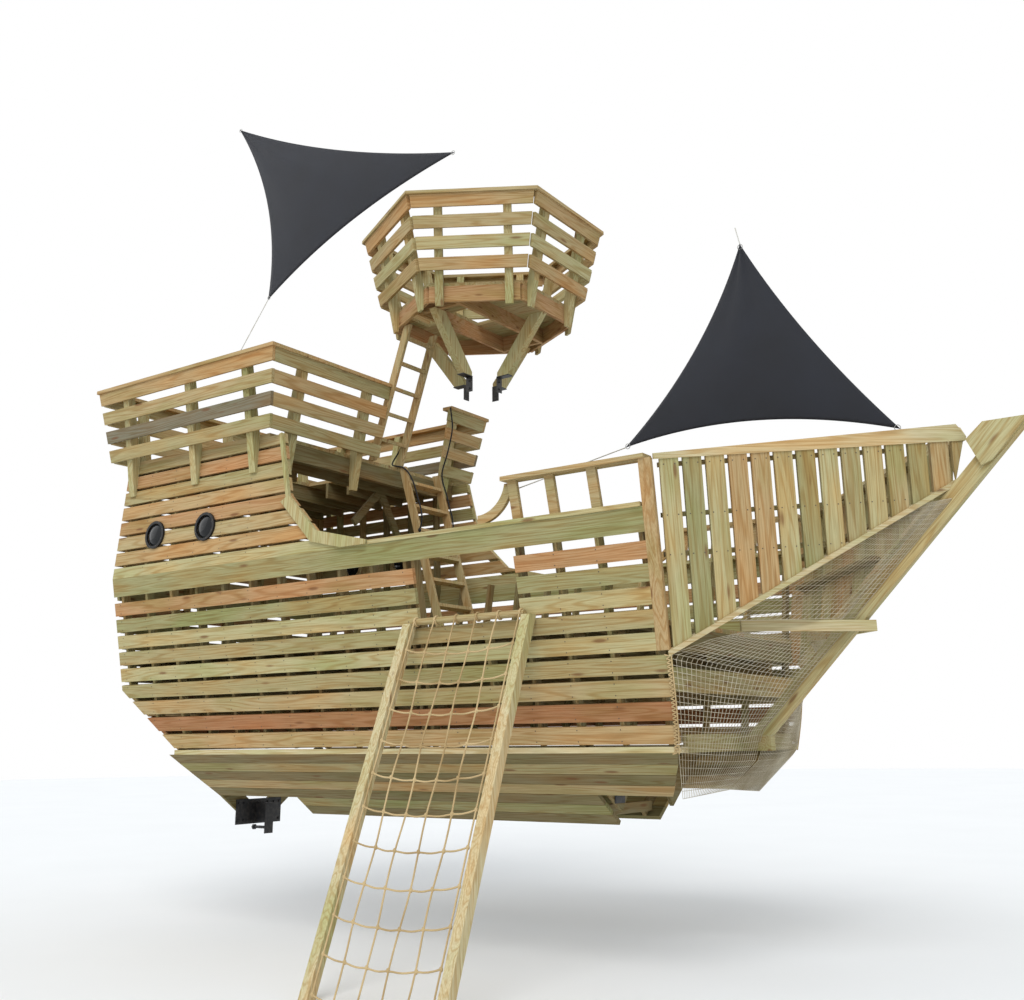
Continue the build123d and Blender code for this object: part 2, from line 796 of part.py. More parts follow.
cross_half = rail_side - 1.0
cross_outline = [
    (-cross_half, 0), (cross_half, 0),
    (cross_half + side_head_slope * spread, side_head_slope),
    (-cross_half - side_head_slope * spread, side_head_slope),
]
stern_rail_plane = Plane(
    origin=(rail_stern - rail_step, 0, rail_base_z), x_dir=(0, -1, 0),
    z_dir=(-math.cos(RAIL), 0, -math.sin(RAIL)),
)
write(
    trimmed(panel(stern_rail_plane, cross_outline, board_thickness, rail_gaps, rail_gap), [below(cap_z)]),
    "poop_rail_stern",
)
front_rail_plane = Plane(
    origin=(rail_front + rail_step, 0, rail_base_z), x_dir=(0, 1, 0),
    z_dir=(math.cos(RAIL), 0, -math.sin(RAIL)),
)
ladder_gap_end = ladder_gap_start + ladder_gap_width
ladder_notch = (ladder_gap_start, ladder_gap_end, -slack, side_head_slope + slack)
write(
    trimmed(
        panel(front_rail_plane, cross_outline, board_thickness, rail_gaps, rail_gap, notches=[ladder_notch]),
        [below(cap_z)],
    ),
    "poop_rail_front",
)


# Rail posts: flat uprights that lean with the rail, their tails wedged over the walls
def rail_post(foot, out, base_z, lean, top, tail, root, lift, back=0.0):
    """One leaning post under the rail boards, with a wedge-shaped tail below the deck."""
    low = -tail * math.tan(lean)
    high = top * math.tan(lean)
    with BuildPart() as post:
        with BuildSketch(Plane(
            origin=(foot[0], foot[1], base_z), x_dir=(out[0], out[1], 0), z_dir=(out[1], -out[0], 0),
        )):
            with BuildLine():
                Polyline(
                    (low, -tail), (high, top), (high - post_size, top),
                    (-root, -lift), (-root + back * tail, -tail), close=True,
                )
            make_face()
        extrude(amount=post_size / 2, both=True)
    return post.part


def poop_post(foot_x, foot_y, out_x, out_y, back):
    """A post of the poop rail."""
    return rail_post(
        (foot_x, foot_y), (out_x, out_y), rail_base_z, RAIL, rail_top, tail_low, root_out, rail_lift, back,
    )


side_post_places = (
    poop_stern_x + side_post_steps[0], poop_stern_x + side_post_steps[1], poop_front_x - front_post_inset,
)
side_posts = [poop_post(x, -rail_side, 0, -1, math.tan(LEAN)) for x in side_post_places]
stern_post_places = (-poop_half + stern_post_inset, 0, poop_half - stern_post_inset)
front_post_places = (
    -poop_half + end_post_inset, ladder_gap_start - gap_post_inset, ladder_gap_end + ladder_post_inset,
)
end_posts = [poop_post(rail_stern, y, -1, 0, math.tan(STERN)) for y in stern_post_places]
end_posts += [poop_post(rail_front, y, 1, 0, 0.0) for y in front_post_places]
write(side_posts + [port_twin(side_posts)] + end_posts, "poop_posts")

# Rail cap: flat boards round the top of the poop rail
cap_out = rail_top * math.tan(RAIL) + rail_step
cap_lip = 20.0
cap_half = rail_side + cap_out + cap_lip
cap_low_x = rail_stern - cap_out - cap_lip
cap_high_x = rail_front + cap_out + cap_lip
cap_middle = cap_z + board_thickness / 2
cap_line = cap_half - board_width / 2
cap_sides = [
    timber((cap_low_x, side * cap_line, cap_middle), (cap_high_x, side * cap_line, cap_middle),
           board_width, board_thickness)
    for side in (-1, 1)
]
cross_reach = cap_half - board_width - joint
cap_ends = [
    timber((cap_low_x + board_width / 2, -cross_reach, cap_middle),
           (cap_low_x + board_width / 2, cross_reach, cap_middle), board_width, board_thickness),
    timber((cap_high_x - board_width / 2, -cross_reach, cap_middle),
           (cap_high_x - board_width / 2, ladder_gap_start, cap_middle), board_width, board_thickness),
    timber((cap_high_x - board_width / 2, ladder_gap_end, cap_middle),
           (cap_high_x - board_width / 2, cross_reach, cap_middle), board_width, board_thickness),
]
write(cap_sides + cap_ends, "poop_rail_cap")


# Ladders: two flat stiles with rungs let in between them
def ladder(foot, head, side, width, first, count, name):
    """A raked ladder cut level at both ends, its stiles side by side along the side direction."""
    rung_pitch = 300.0
    run = Vector(*head) - Vector(*foot)
    along = run.normalized()
    across = Vector(*side).normalized()
    offset = across * ((width - stud_thickness) / 2)
    face = across.cross(along)
    past = along * slack * 2
    pieces = []
    for turn in (-1, 1):
        start = Vector(*foot) + offset * turn
        pieces.append(timber(
            tuple(start - past), tuple(start + run + past), stud_thickness, stud_depth, tuple(face),
        ))
    reach = across * (width / 2 - stud_thickness - joint / 4)
    for rung in range(count):
        middle = Vector(*foot) + along * (first + rung_pitch * rung)
        pieces.append(timber(
            tuple(middle - reach), tuple(middle + reach), stud_thickness, stud_depth, tuple(face),
        ))
    write(trimmed(pieces, [level(foot[2]), below(head[2])]), name)


ladder(
    (poop_front_x + poop_ladder_foot, poop_ladder_y, deck_top_z),
    (poop_front_x + poop_ladder_head, poop_ladder_y, poop_top_z),
    (0, 1, 0), poop_ladder_width, 260.0, 7, "poop_ladder",
)
nest_x = hull_bow_x - nest_place[0]
nest_y = nest_place[1]
nest_top_z = chine_z + nest_height
nest_frame_z = nest_top_z - deck_thickness
nest_ladder_foot = 23.0
nest_ladder_head = 602.0
ladder(
    (poop_front_x + nest_ladder_foot, nest_ladder_y, poop_top_z),
    (nest_x - nest_ladder_head, nest_ladder_y, nest_frame_z - joist_depth),
    (0, 1, 0), nest_ladder_width, 260.0, 5, "nest_ladder",
)

# Forecastle rail: short posts on the sheer cap with a plate, and a swept board aft of it
plate_y = hull_point(0, fore_rail_slope, stud_depth / 2)[1] + 12.0
post_line_y = knuckle[1] + 60.0
cap_top_z = sheer_z + board_thickness
plate_front = 55.0
plate_back = 40.0
fore_post_places = [-460.0, -870.0, -fore_rail_length + post_size / 2]
fore_posts = []
post_rise = Vector(0, plate_y - post_line_y, plate_z - cap_top_z)
for place in fore_post_places:
    start = Vector(hull_bow_x + place, post_line_y, cap_top_z)
    past = post_rise.normalized() * slack
    fore_posts.append(timber(
        tuple(start - past), tuple(start + post_rise + past), post_size, stud_thickness, (0, 1, 0),
    ))
fore_plate = timber(
    (hull_bow_x - fore_rail_length - plate_back, plate_y, plate_z + board_thickness / 2),
    (hull_bow_x + plate_front, plate_y, plate_z + board_thickness / 2), board_width, board_thickness,
)
fore_posts = trimmed(fore_posts, [level(cap_top_z), below(plate_z)])

# A curved board a side sweeps up from the sheer cap to the aft forecastle post
sweep_y = post_line_y - 20.0
sweep_plane = Plane(
    origin=(hull_bow_x + sweep_centre[0], sweep_y, chine_z + sweep_centre[1]),
    x_dir=(1, 0, 0), z_dir=(0, -1, 0),
)
post_back = Plane(
    origin=(hull_bow_x - fore_rail_length - joint, 0, 0), x_dir=(0, 1, 0), z_dir=(-1, 0, 0),
)
with BuildPart() as curved_board:
    with BuildSketch(sweep_plane):
        Circle(sweep_radii[1])
        Circle(sweep_radii[0], mode=Mode.SUBTRACT)
        with Locations((sweep_radii[1] / 2, -sweep_radii[1] / 2)):
            Rectangle(sweep_radii[1], sweep_radii[1], mode=Mode.INTERSECT)
    extrude(amount=stud_thickness / 2, both=True)
sweep_board = trimmed(curved_board.part, [level(cap_top_z + joint / 2), below(plate_z - joint), post_back])
both_sides([fore_posts, fore_plate, sweep_board], "forecastle_rails")

# Bow panels: upright boards from the bow corner to the stem, cut along the low trim
corner_foot = Vector(*hull_point(*panel_foot))
corner_top = Vector(*hull_point(fore_rail_slope * rake, fore_rail_slope))
tip = Vector(hull_bow_x + panel_tip[0], 0, chine_z + panel_tip[1])
panel_normal = (tip - corner_top).cross(corner_foot - corner_top).normalized()
if panel_normal.Y > 0:
    panel_normal = panel_normal * -1
panel_x = Vector(tip.X - corner_top.X, tip.Y - corner_top.Y, 0).normalized()
level_plane = Plane(origin=corner_foot, x_dir=panel_x, z_dir=panel_normal)
panel_turn = math.radians(panel_lean)
bow_x = level_plane.x_dir * math.cos(panel_turn) + level_plane.y_dir * math.sin(panel_turn)
bow_plane = Plane(origin=corner_foot, x_dir=bow_x, z_dir=panel_normal)


def stem_bar(extra):
    """The stem's timber, cut level at its foot and head, with a margin all round."""
    foot = Vector(hull_bow_x + stem_foot[0], 0, chine_z + stem_foot[1])
    along = Vector(math.cos(STEM), 0, math.sin(STEM))
    length = (stem_top - stem_foot[1]) / math.sin(STEM)
    bar = timber(
        tuple(foot - along * stem_depth), tuple(foot + along * (length + stem_depth)),
        stem_width + 2 * extra, stem_depth + 2 * extra, (math.sin(STEM), 0, -math.cos(STEM)),
    )
    return trimmed(bar, [level(chine_z + stem_low - extra), below(chine_z + stem_top + extra)])


def bow_pieces(pieces, cuts=()):
    """Starboard bow pieces, cut at the centreline and clear of the stem."""
    centre_cut = Plane(origin=(0, -joint / 2, 0), x_dir=(1, 0, 0), z_dir=(0, -1, 0))
    with BuildPart() as bow:
        add(trimmed(pieces, [centre_cut, *cuts]))
        add(stem_bar(joint), mode=Mode.SUBTRACT)
    return bow.part


panel_end = bow_cap_line[2][0] + slack
panel_count = round((panel_end - panel_first) / panel_pitch)
panel_gaps = [panel_first + panel_pitch * column for column in range(panel_count)]
panel_start = panel_first + panel_gap / 2


def trim_line(along):
    """The height of the low trim's upper edge, where the panel boards end."""
    return along * trim_rise + trim_start


panel_outline = [
    (panel_start, trim_line(panel_start) + 1.5 * joint), (panel_end, trim_line(panel_end) + 1.5 * joint),
    (panel_end, panel_height), (panel_start, panel_height),
]
bow_boards = bow_pieces(panel(
    bow_plane, panel_outline, board_thickness, panel_gaps[1:], panel_gap, upright=True,
))
write(bow_boards, "starboard_bow_panel")
write(port_twin(bow_boards), "port_bow_panel")


def bow_point(along, up, inward):
    """A point of the bow panel: along it, up it and behind its outer face."""
    return tuple(bow_plane.from_local_coords(Vector(along, up, -inward)))


def bow_bar(low, high, width, depth, inward):
    """A timber in or behind the bow panel, between two points of its plane."""
    return timber(bow_point(*low, inward), bow_point(*high, inward), width, depth, tuple(panel_normal))


# Bow rails: three level rails behind the boards, a trim under their ends and a tapered cap
rail_middle = board_thickness + stud_depth / 2 + joint / 2
bow_rail_start = 40.0
bow_rails = [
    bow_bar((bow_rail_start, high), (reach, high), stud_thickness, stud_depth, rail_middle)
    for high, reach in bow_rail_lines
]
both_sides(bow_pieces(bow_rails), "bow_rails")

trim_proud = 20.0
trim_drop = stud_thickness / 2 / math.cos(math.atan(trim_rise))
trim_cut = Plane(origin=(corner_foot.X + joint, 0, 0), x_dir=(0, 1, 0), z_dir=(1, 0, 0))
bow_trim = bow_bar(
    (-slack, trim_line(-slack) - trim_drop), (panel_end, trim_line(panel_end) - trim_drop),
    stud_thickness, stud_depth, stud_depth / 2 - trim_proud,
)
both_sides(bow_pieces(bow_trim, [trim_cut]), "bow_trims")

cap_proud = 12.0
cap_outline = [
    (bow_cap_line[0][0], panel_height + joint / 2), (bow_cap_line[2][0], panel_height + joint / 2),
    (bow_cap_line[2][0], panel_height + bow_cap_line[2][1]),
    (bow_cap_line[1][0], panel_height + bow_cap_line[1][1]),
    (bow_cap_line[0][0], panel_height + bow_cap_line[0][1]),
]
both_sides(bow_pieces(panel(bow_plane.offset(cap_proud), cap_outline, board_thickness)), "bow_caps")

# Stem: one straight raked timber, with a flat plate on each side of its head
write(stem_bar(0.0), "stem")
plate_clear = 0.5
head_plane = Plane(
    origin=(hull_bow_x, -stem_width / 2 - plate_clear - board_thickness, chine_z),
    x_dir=(1, 0, 0), z_dir=(0, -1, 0),
)
both_sides(panel(head_plane, head_outline, board_thickness), "stem_head")

# Beak ledge: a board on edge a side under the panel, the two meeting ahead of the stem
ledge_z = chine_z + ledge_height
ledge_run = Vector(ledge_tip[0] - ledge_back[0], ledge_tip[1] - ledge_back[1], 0).normalized()
ledge_in = Vector(-ledge_run.Y, ledge_run.X, 0) * (stud_thickness / 2 - ledge_shift)
ledge_past = ledge_run * stud_depth
ledge_start = Vector(hull_bow_x + ledge_back[0], ledge_back[1], ledge_z - stud_depth / 2) + ledge_in
ledge_end = Vector(hull_bow_x + ledge_tip[0], ledge_tip[1], ledge_z - stud_depth / 2) + ledge_in
ledge = timber(tuple(ledge_start), tuple(ledge_end + ledge_past), stud_thickness, stud_depth)
both_sides(bow_pieces(ledge), "beak_ledges")


# Crow's nest: a six-sided deck with leaning rails round the mast tree
def turned(angle):
    """The level direction at an angle of the nest."""
    return (math.cos(math.radians(angle)), math.sin(math.radians(angle)))


nest_apothem = nest_radius * math.cos(math.radians(30))
nest_rise = nest_pitch * (rail_rows - 1) + board_width
nest_base_z = nest_top_z + nest_lift
nest_cap_z = nest_base_z + nest_rise
nest_step = board_thickness / math.cos(NEST)
nest_foot_out = nest_apothem - nest_rise * math.tan(NEST)
nest_root = 30.0 + nest_tail * math.tan(NEST)
nest_rim_out = nest_foot_out - nest_step - nest_root
nest_deck_radius = nest_rim_out / math.cos(math.radians(30))
nest_corner = nest_turn + 30
side_angles = [nest_turn + 60 * side for side in range(6)]
nest_gap = nest_pitch / math.cos(NEST) - board_width
nest_gaps = [nest_pitch / math.cos(NEST) * row - nest_gap / 2 for row in range(1, rail_rows)]
nest_head = nest_rise / math.cos(NEST) + slack
mitre_back = board_thickness * 0.65


def nest_side(angle):
    """One side's four boards, mitred to the next side's."""
    out = turned(angle)
    foot = nest_foot_out * math.tan(math.radians(30)) - mitre_back
    head = (nest_foot_out + nest_head * math.sin(NEST)) * math.tan(math.radians(30)) - mitre_back
    outline = [(-foot, 0), (foot, 0), (head, nest_head), (-head, nest_head)]
    plane = Plane(
        origin=(nest_x + nest_foot_out * out[0], nest_y + nest_foot_out * out[1], nest_base_z),
        x_dir=(-out[1], out[0], 0),
        z_dir=(out[0] * math.cos(NEST), out[1] * math.cos(NEST), -math.sin(NEST)),
    )
    return panel(plane, outline, board_thickness, nest_gaps, nest_gap)


write(trimmed([nest_side(angle) for angle in side_angles], [below(nest_cap_z)]), "nest_rail_boards")

nest_posts = []
for angle in side_angles:
    out = turned(angle)
    for side in (-nest_post_offset, nest_post_offset):
        reach = nest_foot_out - nest_step
        foot = (nest_x + reach * out[0] - side * out[1], nest_y + reach * out[1] + side * out[0])
        nest_posts.append(rail_post(
            foot, out, nest_base_z, NEST, nest_rise, nest_tail, nest_root, nest_lift,
        ))
write(nest_posts, "nest_posts")

hatch_place = nest_hatch[:2]
hatch_size = nest_hatch[2:]
nest_board_gaps = 7
with BuildPart() as nest_deck:
    with BuildSketch(level(nest_top_z)):
        with Locations((nest_x, nest_y)):
            RegularPolygon(nest_deck_radius, 6, rotation=nest_corner)
            Rectangle(nest_well, nest_well, mode=Mode.SUBTRACT)
            for gap in range(-nest_board_gaps, nest_board_gaps):
                with Locations((0, (gap + 0.5) * (board_width + deck_gap))):
                    Rectangle(3 * nest_radius, deck_gap, mode=Mode.SUBTRACT)
            with Locations(hatch_place):
                Rectangle(*hatch_size, mode=Mode.SUBTRACT)
    extrude(amount=-deck_thickness)
write(nest_deck.part, "nest_deck")

rim_inner = nest_rim_out - stud_thickness
rim_half = nest_rim_out * math.tan(math.radians(30)) - stud_thickness * 0.6
nest_frame = []
for angle in side_angles:
    out = turned(angle)
    middle = nest_rim_out - stud_thickness / 2
    ends = [
        (nest_x + middle * out[0] - side * out[1], nest_y + middle * out[1] + side * out[0],
         nest_frame_z - joist_depth / 2)
        for side in (-rim_half, rim_half)
    ]
    nest_frame.append(timber(ends[0], ends[1], stud_thickness, joist_depth))

# Two short headers between the joists carry the braces that meet no side of the rim
header_half = nest_joist_offset - stud_thickness / 2 - joint
header_z = nest_frame_z - joist_depth / 2
for header_y in (nest_y - nest_brace_radii[1], nest_y + nest_brace_radii[1]):
    nest_frame.append(timber(
        (nest_x - header_half, header_y, header_z), (nest_x + header_half, header_y, header_z),
        stud_thickness, joist_depth,
    ))

with BuildPart() as nest_joists:
    with BuildSketch(level(nest_frame_z)):
        with Locations((nest_x, nest_y)):
            with Locations((-nest_joist_offset, 0), (nest_joist_offset, 0)):
                Rectangle(stud_thickness, 3 * nest_radius)
            RegularPolygon(
                (rim_inner - joint) / math.cos(math.radians(30)), 6, rotation=nest_corner,
                mode=Mode.INTERSECT,
            )
    extrude(amount=-joist_depth)
write(nest_frame + [nest_joists.part], "nest_rim")

nest_cap_lip = 25.0
nest_cap_outer = nest_apothem + nest_cap_lip
cap_half_side = nest_cap_outer * math.tan(math.radians(30)) - 1.0
inner_half_side = (nest_cap_outer - board_width) * math.tan(math.radians(30)) - 1.0
nest_caps = []
for angle in side_angles:
    out = turned(angle)
    face = Plane(
        origin=(
            nest_x + nest_cap_outer * out[0], nest_y + nest_cap_outer * out[1], nest_cap_z + board_thickness,
        ),
        x_dir=(-out[1], out[0], 0), z_dir=(0, 0, 1),
    )
    corners = [
        (-cap_half_side, 0), (cap_half_side, 0),
        (inner_half_side, board_width), (-inner_half_side, board_width),
    ]
    nest_caps.append(panel(face, corners, board_thickness))
write(nest_caps, "nest_cap")

# Nest braces: four knee braces from the mast tree, each on a steel bracket
brace_count = 4
brace_foot_z = chine_z + nest_brace_foot
brace_head_z = nest_frame_z - joist_depth
bracket_thickness = 10.0
bracket_height = 180.0
bracket_shelf = 165.0
braces = []
brackets = []
for brace in range(brace_count):
    out = turned(nest_brace_turn + 360 / brace_count * brace)
    side = (-out[1], out[0], 0)
    foot_out, head_out = nest_brace_radii
    foot = Vector(nest_x + foot_out * out[0], nest_y + foot_out * out[1], brace_foot_z)
    head = Vector(nest_x + head_out * out[0], nest_y + head_out * out[1], brace_head_z)
    past = (head - foot).normalized() * board_width
    upward = tuple(Vector(*side).cross(head - foot))
    clear = mast_radius + bracket_thickness + joint
    plate_cut = Plane(
        origin=(nest_x + clear * out[0], nest_y + clear * out[1], 0), x_dir=side, z_dir=(out[0], out[1], 0),
    )
    bar = timber(tuple(foot - past), tuple(head + past), stud_depth, board_width, upward)
    braces.append(trimmed(bar, [plate_cut]))
    with BuildPart() as bracket:
        with BuildSketch(Plane(
            origin=(nest_x + mast_radius * out[0], nest_y + mast_radius * out[1], brace_foot_z),
            x_dir=(out[0], out[1], 0), z_dir=(out[1], -out[0], 0),
        )):
            with BuildLine():
                Polyline(
                    (0, -bracket_height), (bracket_thickness, -bracket_height),
                    (bracket_thickness, -bracket_thickness), (bracket_shelf, -bracket_thickness),
                    (bracket_shelf, 0), (0, 0), close=True,
                )
            make_face()
        extrude(amount=stud_depth / 2, both=True)
    brackets.append(bracket.part)
write(trimmed(braces, [level(brace_foot_z), below(brace_head_z)]), "nest_braces")
write(brackets, "nest_brackets")

# Climbing frame: two square rails leaning on the hull below the entrance, and a round bar
climb_foot_y = -half_beam - climb_reach
climb_head_y = -half_beam - climb_top_out
climb_head_z = chine_z + climb_top
climb_lines = [
    (Vector(hull_bow_x - foot, climb_foot_y, ground_z), Vector(hull_bow_x - head, climb_head_y, climb_head_z))
    for foot, head in zip(climb_feet, climb_heads)
]
climb_rails = []
for foot, head in climb_lines:
    past = (head - foot).normalized() * post_size
    climb_rails.append(timber(tuple(foot - past), tuple(head + past), post_size, post_size, (0, 1, 0)))
hull_face = side_plane.offset(joint)
write(trimmed(climb_rails, [level(ground_z), below(climb_head_z + climb_past), hull_face]), "climbing_rails")

bar_z = chine_z + climb_bar_height
bar_y = hull_point(0, climb_bar_height / math.cos(FLARE))[1] - (climb_bar_radius + joint) / math.cos(FLARE)
bar_start = climb_lines[0][1].X + post_size / 2 + 3 * joint
bar_end = climb_lines[1][1].X - post_size / 2 - 3 * joint
with BuildPart() as gate_bar:
    with BuildSketch(Plane(origin=(bar_start, bar_y, bar_z), x_dir=(0, 1, 0), z_dir=(1, 0, 0))):
        Circle(climb_bar_radius)
    extrude(amount=bar_end - bar_start)
write(gate_bar.part, "climbing_bar")

# Climbing net: upright ropes from the bar to the ground, crossed by sagging ropes
net_inset = 75.0
net_lift = 60.0
net_sag = 55.0


def net_point(column, row):
    """A knot of the climbing net, in the slack plane between the two rails."""
    across = column / (net_columns - 1)
    down = row / net_rows
    left, right = climb_lines
    head_x = left[1].X + net_inset + (right[1].X - left[1].X - 2 * net_inset) * across
    top = Vector(head_x, bar_y - climb_bar_radius - net_rope / 2 - 3 * joint, bar_z)
    foot_x = left[0].X + net_inset + (right[0].X - left[0].X - 2 * net_inset) * across
    foot = Vector(foot_x, climb_foot_y, ground_z + net_lift)
    place = top + (foot - top) * down
    sag = net_sag * 4 * across * (1 - across) if row > 0 else 0.0
    along = (foot - top).normalized()
    return place + along * sag


def net_bar(start, end):
    """One stretch of rope, six-sided, long enough to fuse at its knots."""
    run = (end - start).normalized() * (net_rope * 0.4)
    with BuildPart() as stretch:
        with BuildSketch(Plane(origin=start - run, z_dir=end - start)):
            RegularPolygon(net_rope / 2, 6)
        extrude(amount=(end - start + run * 2).length)
    return stretch.part


net_bars = []
for column in range(net_columns):
    for row in range(net_rows):
        net_bars.append(net_bar(net_point(column, row), net_point(column, row + 1)))
for row in range(1, net_rows + 1):
    for column in range(net_columns - 1):
        net_bars.append(net_bar(net_point(column, row), net_point(column + 1, row)))
write(net_bars, "climbing_net")


# Sails: two dark triangles of cloth with hollow edges, held at their corners
def sail(corners, hollows, name):
    """A flat cloth between three corners, each edge curving in by a share of its length."""
    a, b, c = [Vector(*corner) for corner in corners]
    plane = Plane(origin=a, x_dir=b - a, z_dir=(b - a).cross(c - a))
    flat = [plane.to_local_coords(corner) for corner in (a, b, c)]
    centre = (flat[0] + flat[1] + flat[2]) / 3
    with BuildPart() as cloth:
        with BuildSketch(plane):
            with BuildLine():
                for start, end, hollow in zip(flat, flat[1:] + flat[:1], hollows):
                    middle = (start + end) * 0.5
                    bend = middle + (centre - middle).normalized() * (end - start).length * hollow
                    ThreePointArc((start.X, start.Y), (bend.X, bend.Y), (end.X, end.Y))
            make_face()
        extrude(amount=sail_thickness / 2, both=True)
    write(cloth.part, name)


sail_thickness = 4.0
fore_sail_corners = [
    (hull_bow_x + 380, -200, 5280), (hull_bow_x - 920, -200, 3530), (hull_bow_x + 1650, -200, 3290),
]
aft_sail_corners = [
    (hull_bow_x - 6935, 0, 9067), (hull_bow_x - 3135, 0, 7478), (hull_bow_x - 6178, 0, 6347),
]
sail(fore_sail_corners, (0.064, 0.065, 0.03), "fore_sail")
sail(aft_sail_corners, (0.032, 0.058, 0.10), "aft_sail")

# Sail ropes: taut lines from the sails' corners to the poop cap, the aft forecastle post
# and the bow cap, each a straight run, and a short end at the head of the fore sail
stay_radius = 5.0
tie_gap = 0.3
aft_tie_back = 377.0
fore_tie_drop = 75.0
bow_tie_along = 2010.0
bow_tie_up = 60.0
head_line_run = (-36.0, 0.0, 173.0)


def stay(start, end, cuts):
    """A taut rope between two points, cut flush with what it is tied to."""
    run = Vector(*end) - Vector(*start)
    with BuildPart() as line:
        with BuildSketch(Plane(origin=start, z_dir=run)):
            Circle(stay_radius)
        extrude(amount=run.length)
    return trimmed(line.part, cuts)


def sail_side(y):
    """The plane just clear of a sail's starboard face, facing to starboard."""
    return Plane(origin=(0, y - sail_thickness / 2 - tie_gap, 0), x_dir=(1, 0, 0), z_dir=(0, -1, 0))


poop_cap_edge = board_width - cap_half
poop_cap_face = Plane(origin=(0, poop_cap_edge + tie_gap, 0), x_dir=(1, 0, 0), z_dir=(0, 1, 0))
aft_stay = stay(
    aft_sail_corners[2], (poop_front_x - aft_tie_back, poop_cap_edge - stay_radius * 2, cap_middle),
    [sail_side(0), poop_cap_face],
)
post_x = hull_bow_x + fore_post_places[-1]
post_inward = Vector(0, post_rise.Z, -post_rise.Y).normalized()
post_middle = Vector(post_x, post_line_y, cap_top_z)
post_face = Plane(
    origin=post_middle + post_inward * (stud_thickness / 2 + tie_gap), x_dir=(1, 0, 0), z_dir=post_inward,
)
post_tie = post_middle + post_rise * ((plate_z - fore_tie_drop - cap_top_z) / post_rise.Z)
fore_stay = stay(fore_sail_corners[1], tuple(post_tie), [sail_side(-200), post_face])
cap_back = board_thickness - cap_proud
cap_face = Plane(
    origin=bow_point(0, 0, cap_back + tie_gap), x_dir=panel_x, z_dir=panel_normal * -1,
)
bow_stay = stay(
    fore_sail_corners[2], bow_point(bow_tie_along, panel_height + bow_tie_up, 0), [sail_side(-200), cap_face],
)
head_start = Vector(*fore_sail_corners[0]) + Vector(*head_line_run).normalized() * tie_gap
head_line = stay(tuple(head_start), tuple(head_start + Vector(*head_line_run)), [])
write([aft_stay, fore_stay, bow_stay, head_line], "sail_ropes")

# Hand ropes: two slack ropes beside the ladders. The first is tied to the nest ladder, lies
# over the edge of the poop deck and hangs to the poop ladder's starboard stile. The second
# is tied at the end of the front rail and hangs in front of the port stile.
hand_radius = 9.0
starboard_route = [
    (1668, 494.5, 4905), (1632, 503, 4800), (1622, 505, 4670), (1574, 505, 4543), (1508, 505, 4395),
    (1426, 505, 4250), (1335, 502, 4130), (1285, 480, 4045), (1300, 437, 3985), (1385, 430, 3962),
    (1480, 436, 3940), (1570, 440, 3855), (1650, 440, 3710), (1700, 440, 3550), (1760, 440, 3400),
    (1772, 440, 3260), (1735, 440.7, 3180),
]
port_route = [
    (1665, 1080.5, 4775), (1690, 1078, 4640), (1706, 1075, 4500), (1665, 1075, 4329), (1605, 1075, 4140),
    (1540, 1075, 3995), (1550, 1075, 3868), (1615, 1075, 3715), (1668, 1075, 3520), (1722, 1075, 3370),
    (1715, 1075, 3262),
]


def hand_rope(points, name):
    """A slack rope: straight runs joined by the widest arcs that they allow."""
    corners = [Vector(*point) for point in points]
    radii = []
    for before, corner, after in zip(corners, corners[1:], corners[2:]):
        turn = (corner - before).get_angle(after - corner)
        shorter = min((corner - before).length, (after - corner).length)
        radii.append(0.45 * shorter / math.tan(math.radians(turn / 2)))
    with BuildPart() as rope:
        with BuildLine() as route:
            FilletPolyline(*corners, radius=radii)
        with BuildSketch(Plane(origin=route.line @ 0, z_dir=route.line % 0)):
            Circle(hand_radius)
        sweep()
    length = sum(edge.length for edge in route.edges())
    fill = rope.part.volume / (math.pi * hand_radius ** 2 * length)
    print(name, "length", round(length), "radii", [round(radius) for radius in radii])
    print(name, "volume over section times length", round(fill, 3))
    write(rope.part, name)


hand_rope(starboard_route, "starboard_hand_rope")
hand_rope(port_route, "port_hand_rope")

# Aft bracket: a steel plate on the trunk with the origin on its face, two arms, a cross
# plate bolted to the stern frames, and the long bolt into the tree
plate_half = 60.0
plate_low = -60.0
plate_high = 260.0
plate_thickness = 10.0
cross_plate_half = 330.0
cross_plate_low = 40.0
cross_plate_high = 300.0
arm_offset = 45.0
arm_low = 60.0
bolt_radius = 15.0
bolt_reach = 260.0
nut_thickness = 24.0
frame_face_x = hull_bow_x + stern_frame_place + stud_thickness / 2
arm_length = -frame_face_x - plate_thickness
with BuildPart() as aft_bracket:
    with Locations((-plate_thickness / 2, 0, (plate_low + plate_high) / 2)):
        Box(plate_thickness, 2 * plate_half, plate_high - plate_low)
    with Locations((frame_face_x + plate_thickness / 2, 0, (cross_plate_low + cross_plate_high) / 2)):
        Box(plate_thickness, 2 * cross_plate_half, cross_plate_high - cross_plate_low)
    for side in (-1, 1):
        with Locations((frame_face_x / 2, side * arm_offset, (arm_low + plate_high) / 2)):
            Box(arm_length, plate_thickness, plate_high - arm_low)
    with BuildSketch(Plane(origin=(-bolt_reach, 0, 0), x_dir=(0, 1, 0), z_dir=(1, 0, 0))):
        Circle(bolt_radius)
    extrude(amount=bolt_reach - plate_thickness / 2)
    with BuildSketch(Plane(origin=(-bolt_reach + bolt_radius, 0, 0), x_dir=(0, 1, 0), z_dir=(1, 0, 0))):
        RegularPolygon(2 * bolt_radius, 6)
    extrude(amount=nut_thickness)
write(aft_bracket.part, "aft_bracket")

